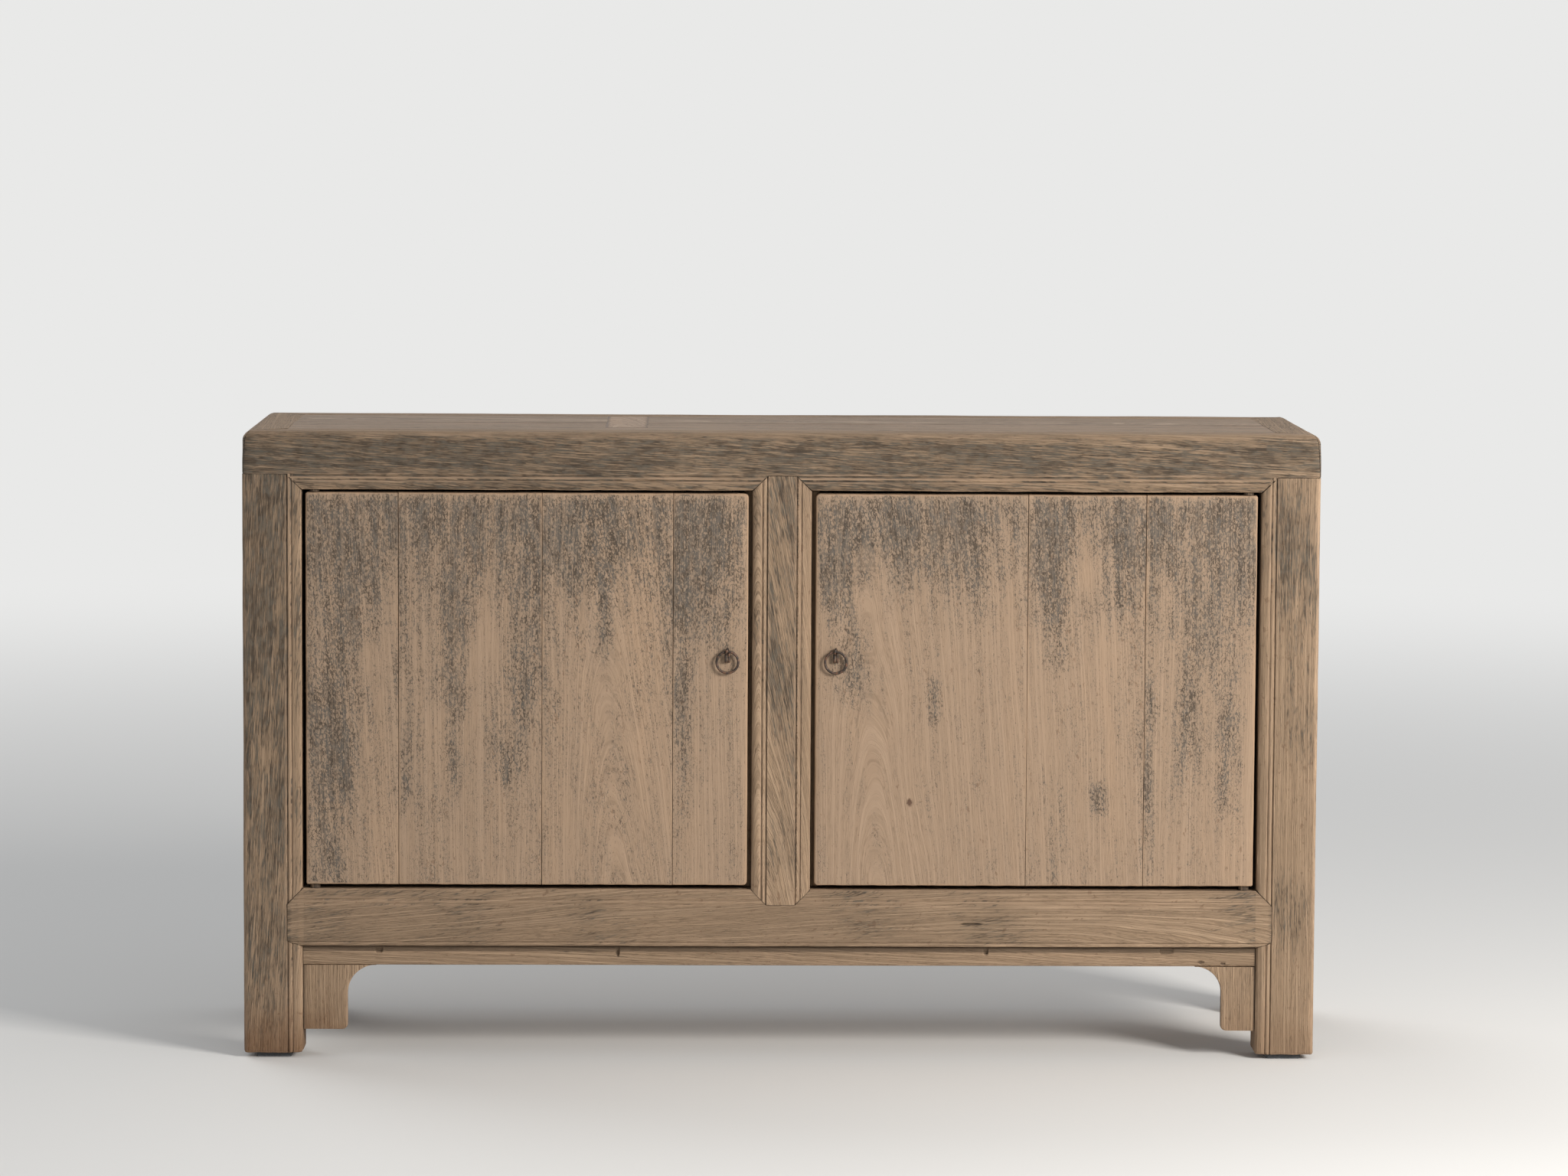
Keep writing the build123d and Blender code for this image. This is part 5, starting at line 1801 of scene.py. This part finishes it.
@dataclass
class Apron:
    """Strip and coved brackets between the front legs."""

    case: Case = Case()
    setback: float = 9.0
    thickness: float = 14.0
    strip_height: float = 27.0
    bracket_widths: tuple[float, float] = (60.0, 46.0)  # left and right
    bracket_height: float = 88.0
    coves: tuple[float, float] = (39.0, 36.0)
    toe: float = 7.0
    template: float = 100.0  # width of the section before it is fitted to each height
    inner_strip: float = 3.0  # what keeps its width when it is fitted
    # height of the band of painted shade at the strip's top, where the rail above would shade it
    shadow: float = 8.5
    chips: tuple[Chip, ...] = (
        Chip(-543, 146, 5.5, 3.2, 3.5), Chip(-220, 144, 2.6, 5.5, 3.5), Chip(279, 146, 3.2, 5.0, 3.5),
        Chip(524, 146, 10.0, 3.6, 3.0), Chip(571, 132, 4.6, 1.7, 2.2), Chip(601, 130, 3.6, 1.6, 2.0))

    def build(self) -> None:
        """Make the strip and both brackets."""
        self.strip()
        for side in SIDES:
            self.bracket(side)

    def strip(self) -> None:
        """Make the strip, chipped, with a band of painted shade along its top, under the rail."""
        case = self.case
        height = self.strip_height
        pen = Pen()
        pen.point(0.4, 1.4, 0.6).point(1.6, 0.3, 0.8)
        for across in np.arange(3.0, height - self.shadow, 1.5):
            pen.point(across, 0.0, 0.1)
        # Painted shade: the top rows are darkened through the grime channel, standing in for the shadow
        # that the rail's bead casts on the strip.
        pen.point(height - self.shadow + 1, 0.0, 0.0, 0.85).point(height - 1.5, 0.0, 0.0, 1.0)
        pen.point(height, 1.5, 0.0, 1.0)
        pen.run(height, self.thickness).run(0, self.thickness).run(0, 3.0)
        axes = Axes((0.0, case.front + self.setback, case.rail_base - height), X, Z, Y)
        timber = Timber(
            "apron_strip", Finish.FRAME, axes, Sawn.RIFT, residue=0.05, arris_wear=1.3, chips=self.chips)
        timber.skin.span(pen.close(), -case.opening_edge, case.opening_edge, (0.4, 0.4),
                         close=[chip.reach() for chip in self.chips])
        timber.make()

    def inner_edge(self, z: float, width: float, cove: float) -> float:
        """Width of a bracket at a height: coved above, square below, with a rounded toe.

        Args:
            z: the height.
            width: of its square part.
            cove: radius of its cove.

        Returns:
            The width.
        """
        top = self.case.rail_base - self.strip_height
        return width + rounding(cove, top - z) - rounding(self.toe, z - (top - self.bracket_height))

    def bracket(self, side: int) -> None:
        """Make one bracket as sections stacked from its foot to the strip.

        Args:
            side: -1 for the left and 1 for the right.
        """
        case = self.case
        top = case.rail_base - self.strip_height
        base = top - self.bracket_height
        heights = [base + self.toe * (1 - cos(pi / 2 * i / 5)) for i in range(6)]
        plain, cove = self.bracket_widths[side > 0], self.coves[side > 0]
        heights += list(np.arange(base + self.toe + 4, top - cove, 6.0))
        heights += [top - cove + cove * sin(pi / 2 * i / 16) for i in range(17)]
        axes = Axes((side * case.opening_edge, case.front + self.setback, 0.0), Z, (-side, 0, 0), Y)
        timber = Timber(f"apron_bracket_{SIDES[side]}", Finish.FRAME, axes, Sawn.FLAT,
                        residue=0.04, arris_wear=0.8, undulation=0.3)
        unit = draw_rectangle(self.template, self.thickness, (0.5, 1.6, 1.2, 0.5))
        unit[unit[:, 0] < 1.0, 3] = 1.0
        across = unit[:, 0]
        free = self.template - self.inner_strip
        for height in heights:
            section = unit.copy()
            width = self.inner_edge(height, plain, cove)
            section[:, 0] = np.where(
                across > free, across - self.template + width, across * (width - self.inner_strip) / free)
            foot = 0.6 if height == base else 0.0
            timber.skin.station(height, section, foot, foot)
        timber.make()


@dataclass
class FootPads:
    """Felt pads under the four feet."""

    node: str = "foot_pads"
    width: float = 48.0
    depth: float = 42.0
    corner: float = 4.0
    profile: tuple[tuple[float, float], ...] = (  # height and growth of each ring
        (0.0, -0.7), (0.35, -0.1), (1.6, 0.0), (2.6, -0.35), (3.4, -0.35), (4.4, 0.0), (5.65, -0.1),
        (6.0, -0.6))

    def build(self) -> None:
        """Make one pad and let Geometry Nodes set it under each foot."""
        low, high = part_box(self.node)
        flat_x, flat_y = self.width / 2 - self.corner, self.depth / 2 - self.corner
        outline = []
        for quarter, (sx, sy) in enumerate(((1, 1), (-1, 1), (-1, -1), (1, -1))):
            for i in range(5):
                angle = pi / 2 * (quarter + i / 4)
                outline.append(
                    (sx * flat_x + self.corner * cos(angle), sy * flat_y + self.corner * sin(angle)))
        rings = [[(x * (1 + 2 * grow / self.width), y * (1 + 2 * grow / self.depth), z) for x, y in outline]
                 for z, grow in self.profile]
        piece = add_object("felt_foot_pads", loft(self.node, [rings]))
        size = high - low
        middle = Vector(((low.x + high.x) / 2, (low.y + high.y) / 2, low.z))
        PadsUnderFeet.on(
            piece, Finish.FELT,
            {"Span X": size.x - self.width * MM, "Span Y": size.y - self.depth * MM, "Middle": middle})
        settle(piece, Finish.FELT, CASE, (self.node,))


@dataclass
class Door:
    """One door: glued-up boards with eased edges, held by two battens behind."""

    side: int
    residue: DoorResidue
    boards: tuple[tuple[str, Sawn], ...]
    edge_radius: float = 2.5
    free_corner: float = 6.0
    hinge_corner: float = 3.0
    pivot_inset: float = 12.0
    pivot_radius: float = 7.0
    pivot_ease: float = 0.8
    back_residue: float = 0.14

    def build(self) -> None:
        """Make the boards and battens."""
        names = [f"{self.body}_{place}_board" for place, _ in self.boards]
        base = min(limits_of(name)[2][0] for name in names[1:])
        head = max(limits_of(name)[2][1] for name in names[1:])
        for name, (place, sawn) in zip(names, self.boards):
            self.board(name, sawn, base, head, place == "hinge", place == "free")
        self.pivots(base, head)
        for place in ("upper", "lower"):
            name = f"{self.body}_{place}_batten"
            x, y, z = limits_of(name)
            plank(name, x, (limits_of(names[1])[1][1], y[1]), z, "x", Finish.INNER, body=self.body,
                  radius=2.5)

    @property
    def body(self) -> str:
        """The body that the door is."""
        return f"{SIDES[self.side]}_door"

    def board(self, name: str, sawn: Sawn, base: float, head: float, hinge: bool, free: bool) -> None:
        """Make one board.

        Args:
            name: node and piece.
            sawn: cut of the log.
            base, head: lower and upper edge of the door.
            hinge, free: whether it is the board at the hinge or at the free edge.
        """
        (x0, x1), (y0, y1), _ = limits_of(name)
        outer = (hinge, free) if self.side < 0 else (free, hinge)
        near, far = (self.edge_radius if edge else JOINT_EASE for edge in outer)
        section = draw_rectangle(x1 - x0, y1 - y0, (near, far, 0.8, 0.8))

        def residue(points: Array) -> Array:
            """The stains on the face, and little behind."""
            return np.where(points[:, 1] < (y0 + y1) / 2, self.residue(points), self.back_residue)

        timber = Timber(name, Finish.DOOR, Axes((x0, y0, base), Z, X, Y), sawn, self.body, residue,
                        arris_wear=0.9, undulation=0.5)
        height = head - base
        corner = self.hinge_corner if hinge else self.free_corner
        near_end = [corner * (1 - cos(pi / 2 * i / 8)) for i in range(9)] + [corner + 4]
        for t in near_end:
            timber.skin.station(t, self.eased(section, t, corner, outer))
        for t in np.arange(corner + 10, height - corner - 8, STATION):
            timber.skin.station(t, section)
        for t in reversed(near_end):
            timber.skin.station(height - t, self.eased(section, t, corner, outer))
        timber.make()

    def eased(self, section: Array, distance: float, corner: float,
              outer: tuple[bool, bool]) -> Array:
        """Draw a section in near an end, for the rounded front arris and the door's corner.

        Args:
            section: rows of (across, depth, edge, grime).
            distance: from the end.
            corner: rounding of the door's corner.
            outer: whether its left and its right edge are edges of the door.

        Returns:
            The section there.
        """
        rows = section.copy()
        across, depth = section[:, 0], section[:, 1]
        half, thickness = across.max() / 2, depth.max()
        rows[:, 1] += rounding(self.edge_radius, distance) * (1 - depth / thickness)
        side = rounding(corner, distance)
        if outer[0]:
            rows[:, 0] += side * np.clip(1 - across / half, 0, 1)
        if outer[1]:
            rows[:, 0] -= side * np.clip(across / half - 1, 0, 1)
        rows[:, 2] = np.maximum(rows[:, 2], max(0.0, 0.9 - distance / 6) * (depth < thickness / 2))
        return rows

    def pivots(self, base: float, head: float) -> None:
        """Make the wooden pivots above and below the hinge board as one piece.

        Args:
            base, head: lower and upper edge of the door.
        """
        (left, right), (front, back), (foot, top) = limits_of(f"{self.body}_hinge_board")
        middle = (front + back) / 2
        x = left + self.pivot_inset if self.side < 0 else right - self.pivot_inset
        radius, ease = self.pivot_radius, self.pivot_ease
        turns = [tau * i / 32 for i in range(32)]
        shapes = []
        for z0, z1, end in ((foot, base + 0.5, radius), (head - 0.5, top, radius - ease)):
            profile = ((z0, radius - ease), (z0 + ease, radius), (z1 - ease, radius), (z1, end))
            shapes.append([[(x + r * cos(a), middle + r * sin(a), z) for a in turns] for z, r in profile])
        mesh = loft(f"{self.body}_pivots", shapes)
        co = np.array([v.co for v in mesh.vertices])
        add_attribute(mesh, "wood", np.column_stack([co[:, 2], co[:, 0] - x * MM + 0.03, co[:, 1]]))
        # Painted shade: grime and residue are set full so the pivots render dark, standing in for the shade
        # of the gap they turn in.
        for key, value in (("edge", 0.0), ("grime", 1.0), ("residue", 1.0), ("tone", 0.0)):
            add_attribute(mesh, key, np.full(len(co), value))
        piece = add_object(mesh.name, mesh)
        axes = Axes(ORIGIN, Z, X, Y)
        Weathering.wear(piece, Timber(mesh.name, Finish.INNER, axes, arris_wear=0.1, undulation=0.05))
        settle(piece, Finish.INNER, self.body, ())


@dataclass
class RingPull:
    """Iron ring held by one wire folded through the door and clenched behind it."""

    side: int
    ring_wire: float = 1.8
    ring_radius: float = 14.5
    staple_wire: float = 1.6
    eye_radius: float = 3.75
    leg_half: float = 2.1
    drop: float = 14.0
    clench: float = 18.0
    bend: float = 2.4
    unevenness: float = 0.35
    ring_steps: int = 72
    eye_steps: int = 24
    bend_steps: int = 6

    def build(self) -> None:
        """Make the ring and its staple."""
        side = SIDES[self.side]
        x, y, z = limits_of(f"{side}_ring")
        x, y, z = sum(x) / 2, sum(y) / 2, z[1] - self.ring_wire
        turns = (tau * i / self.ring_steps for i in range(self.ring_steps))
        ring = [(x + self.ring_radius * sin(a), y, z - self.ring_radius + self.ring_radius * cos(a))
                for a in turns]
        self.wire(f"{side}_pull_ring", ring, True, self.ring_wire, f"{side}_ring", f"{side}_ring")
        back = limits_of(f"{side}_ring_staple")[1][1] - self.staple_wire
        path = self.leg(x - self.leg_half, 1, y, z, back) + self.eye(x, y, z)
        path += self.leg(x + self.leg_half, -1, y, z, back)[::-1]
        self.wire(f"{side}_pull_staple", path, False, self.staple_wire, f"{side}_door",
                  f"{side}_ring_staple")

    def leg(self, x: float, way: int, y: float, z: float, back: float) -> list[Place]:
        """One leg of the folded wire, from the clenched tip to just under the eye.

        Args:
            x: of the leg.
            way: 1 if the tip is bent up and -1 if it is bent down.
            y, z: middle of the eye.
            back: Y of the clenched part.

        Returns:
            Points of its middle line.
        """
        entry = z - self.drop
        corners = [(back, entry + way * (self.clench - 2)), (back, entry), (y, entry), (
            y, z - self.eye_radius - 1)]
        path = [corners[0]]
        for before, at, after in zip(corners, corners[1:], corners[2:]):
            way_in = Vector((at[0] - before[0], at[1] - before[1])).normalized()
            way_out = Vector((after[0] - at[0], after[1] - at[1])).normalized()
            centre = Vector(at) - way_in * self.bend + way_out * self.bend
            for i in range(self.bend_steps + 1):
                angle = pi / 2 * i / self.bend_steps
                turn = way_in * self.bend * sin(angle)
                path.append(tuple(centre - way_out * self.bend * cos(angle) + turn))
        path.append(corners[-1])
        return [(x, a, b) for a, b in path]

    def eye(self, x: float, y: float, z: float) -> list[Place]:
        """One turn of wire round the ring, swaying from the first leg to the last.

        Args:
            x, y, z: middle of the eye.

        Returns:
            Points of its middle line.
        """
        points = []
        for i in range(self.eye_steps + 1):
            share = i / self.eye_steps
            angle = tau * share
            sway = x - self.leg_half + 2 * self.leg_half * share
            points.append((sway, y - self.eye_radius * sin(angle), z - self.eye_radius * cos(angle)))
        return points

    def wire(self, name: str, path: Sequence[Place], closed: bool, radius: float, body: str,
             node: str) -> None:
        """Draw forged wire along a path.

        Args:
            name: piece name.
            path: points of its middle line.
            closed: whether it joins up.
            radius: of the wire.
            body: the body that it moves with.
            node: the solid that it replaces.
        """
        points = [Vector(p) * MM for p in path]
        edges = [(i, i + 1) for i in range(len(points) - 1)]
        if closed:
            edges.append((len(points) - 1, 0))
        mesh = bpy.data.meshes.new(name)
        mesh.from_pydata(points, edges, [])
        piece = add_object(name, mesh)
        ForgedWire.on(piece, Finish.IRON, {
            "Radius": radius * MM, "Unevenness": self.unevenness, "Seed": float(self.side * 3 + len(path))})
        settle(piece, Finish.IRON, body, (node,))


# ---------- studio
@dataclass
class Studio:
    """Pale floor, soft light and the camera."""

    camera_x: float = -0.130
    camera_height: float = 1.305
    distance: float = 7.1
    yaw: float = 1.07
    pitch: float = 5.34
    roll: float = 0.31
    lens: float = 121.8
    floor_size: float = 60.0
    fade: tuple[float, float] = (1.6, 7.0)
    floor_color: Paint = (222, 220, 216)
    backdrop: Paint = (233, 233, 232)
    sky: Paint = (240, 244, 250)
    ambient: float = 0.5

    def build(self) -> None:
        """Set everything up."""
        self.floor()
        self.world()
        self.lights()
        self.camera()

    def floor(self) -> None:
        """Lay a plain pale floor."""
        half = self.floor_size / 2
        mesh = bpy.data.meshes.new("studio_floor")
        corners = [(-half, -half, 0), (half, -half, 0), (half, half, 0), (-half, half, 0)]
        mesh.from_pydata(corners, [], [(0, 1, 2, 3)])
        floor = add_object("studio_floor", mesh)
        material, net = start_material("studio_floor")
        place = net.make("ShaderNodeTexCoord", output="Object")
        reach = net.make("ShaderNodeVectorMath", {0: place}, "Value", operation="LENGTH")
        seen = net.make("ShaderNodeLightPath", output="Is Camera Ray")
        surface = net.make(
            "ShaderNodeBsdfPrincipled",
            {"Base Color": srgb(self.floor_color), "Roughness": 0.85, "Specular IOR Level": 0.1})
        backdrop = net.make("ShaderNodeEmission", {"Color": srgb(self.backdrop)})
        far = net.step(reach, *self.fade) * seen
        both = net.make("ShaderNodeMixShader", {0: far, 1: surface, 2: backdrop})
        net.add("ShaderNodeOutputMaterial", {0: both})
        mesh.materials.append(material)

    def world(self) -> None:
        """Even ambient light, white to the camera."""
        world = bpy.data.worlds.new("studio")
        bpy.context.scene.world = world
        world.use_nodes = True
        world.node_tree.nodes.clear()
        net = Net(world.node_tree)
        path = net.outputs("ShaderNodeLightPath")
        seen = net.math("MAXIMUM", path["Is Camera Ray"], path["Is Glossy Ray"])
        ambient = net.make("ShaderNodeBackground", {"Color": srgb(self.sky), "Strength": self.ambient})
        white = net.make("ShaderNodeBackground", {"Color": srgb(self.backdrop), "Strength": 1.0})
        both = net.make("ShaderNodeMixShader", {0: seen, 1: ambient, 2: white})
        net.add("ShaderNodeOutputWorld", {0: both})

    def lights(self) -> None:
        """A broad soft key from the right, in front and above, and a weak fill from behind."""
        self.lamp("key", "AREA", (2.85, -3.05, 2.05), 205.0, (1.0, 0.975, 0.945)).size = 1.3
        self.lamp("fill", "SUN", (-3.0, 4.0, 3.5), 0.9, (0.96, 0.98, 1.0)).angle = radians(40)

    def lamp(self, name: str, kind: str, place: Place, energy: float, color: Place) -> bpy.types.Light:
        """Add a lamp aimed at the middle of the cabinet.

        Args:
            name: object name.
            kind: Blender's kind of lamp.
            place: position in metres.
            energy: watts, or watts per square metre for a sun.
            color: linear colour.

        Returns:
            The lamp's settings.
        """
        data = bpy.data.lights.new(name, kind)
        data.energy = energy
        data.color = color
        lamp = add_object(name, data)
        lamp.location = place
        aim = Vector((0.0, 0.0, Case().top * MM / 2)) - lamp.location
        lamp.rotation_euler = aim.to_track_quat("-Z", "Y").to_euler()
        return data

    def camera(self) -> None:
        """Place the camera a little left of the middle, looking slightly down and right."""
        data = bpy.data.cameras.new("camera")
        data.lens = self.lens
        data.clip_end = 200.0
        camera = add_object("camera", data)
        camera.location = (self.camera_x, Case().front * MM - self.distance, self.camera_height)
        turn = Matrix.Rotation(-radians(self.yaw), 3, "Z")
        turn = turn @ Matrix.Rotation(pi / 2 - radians(self.pitch), 3, "X")
        turn = turn @ Matrix.Rotation(radians(self.roll), 3, "Z")
        camera.rotation_euler = turn.to_euler()
        bpy.context.scene.camera = camera


def main() -> None:
    """Build the cabinet, then the studio round it."""
    logging.basicConfig(level=logging.INFO, format="%(name)s: %(message)s")
    bpy.context.scene.view_settings.view_transform = "Standard"
    FaceFrame().build()
    TopFrame().build()
    Carcass().build()
    Apron().build()
    FootPads().build()
    left = Door(-1, LEFT_DOOR_RESIDUE, (("hinge", Sawn.RIFT), ("second", Sawn.QUARTER),
                                        ("third", Sawn.FLAT), ("free", Sawn.QUARTER)))
    right = Door(1, RIGHT_DOOR_RESIDUE, (("hinge", Sawn.QUARTER), ("middle", Sawn.RIFT),
                                         ("free", Sawn.FLAT)))
    for door in (left, right):
        door.build()
        RingPull(door.side).build()
    Studio().build()


if __name__ == "__main__":
    main()
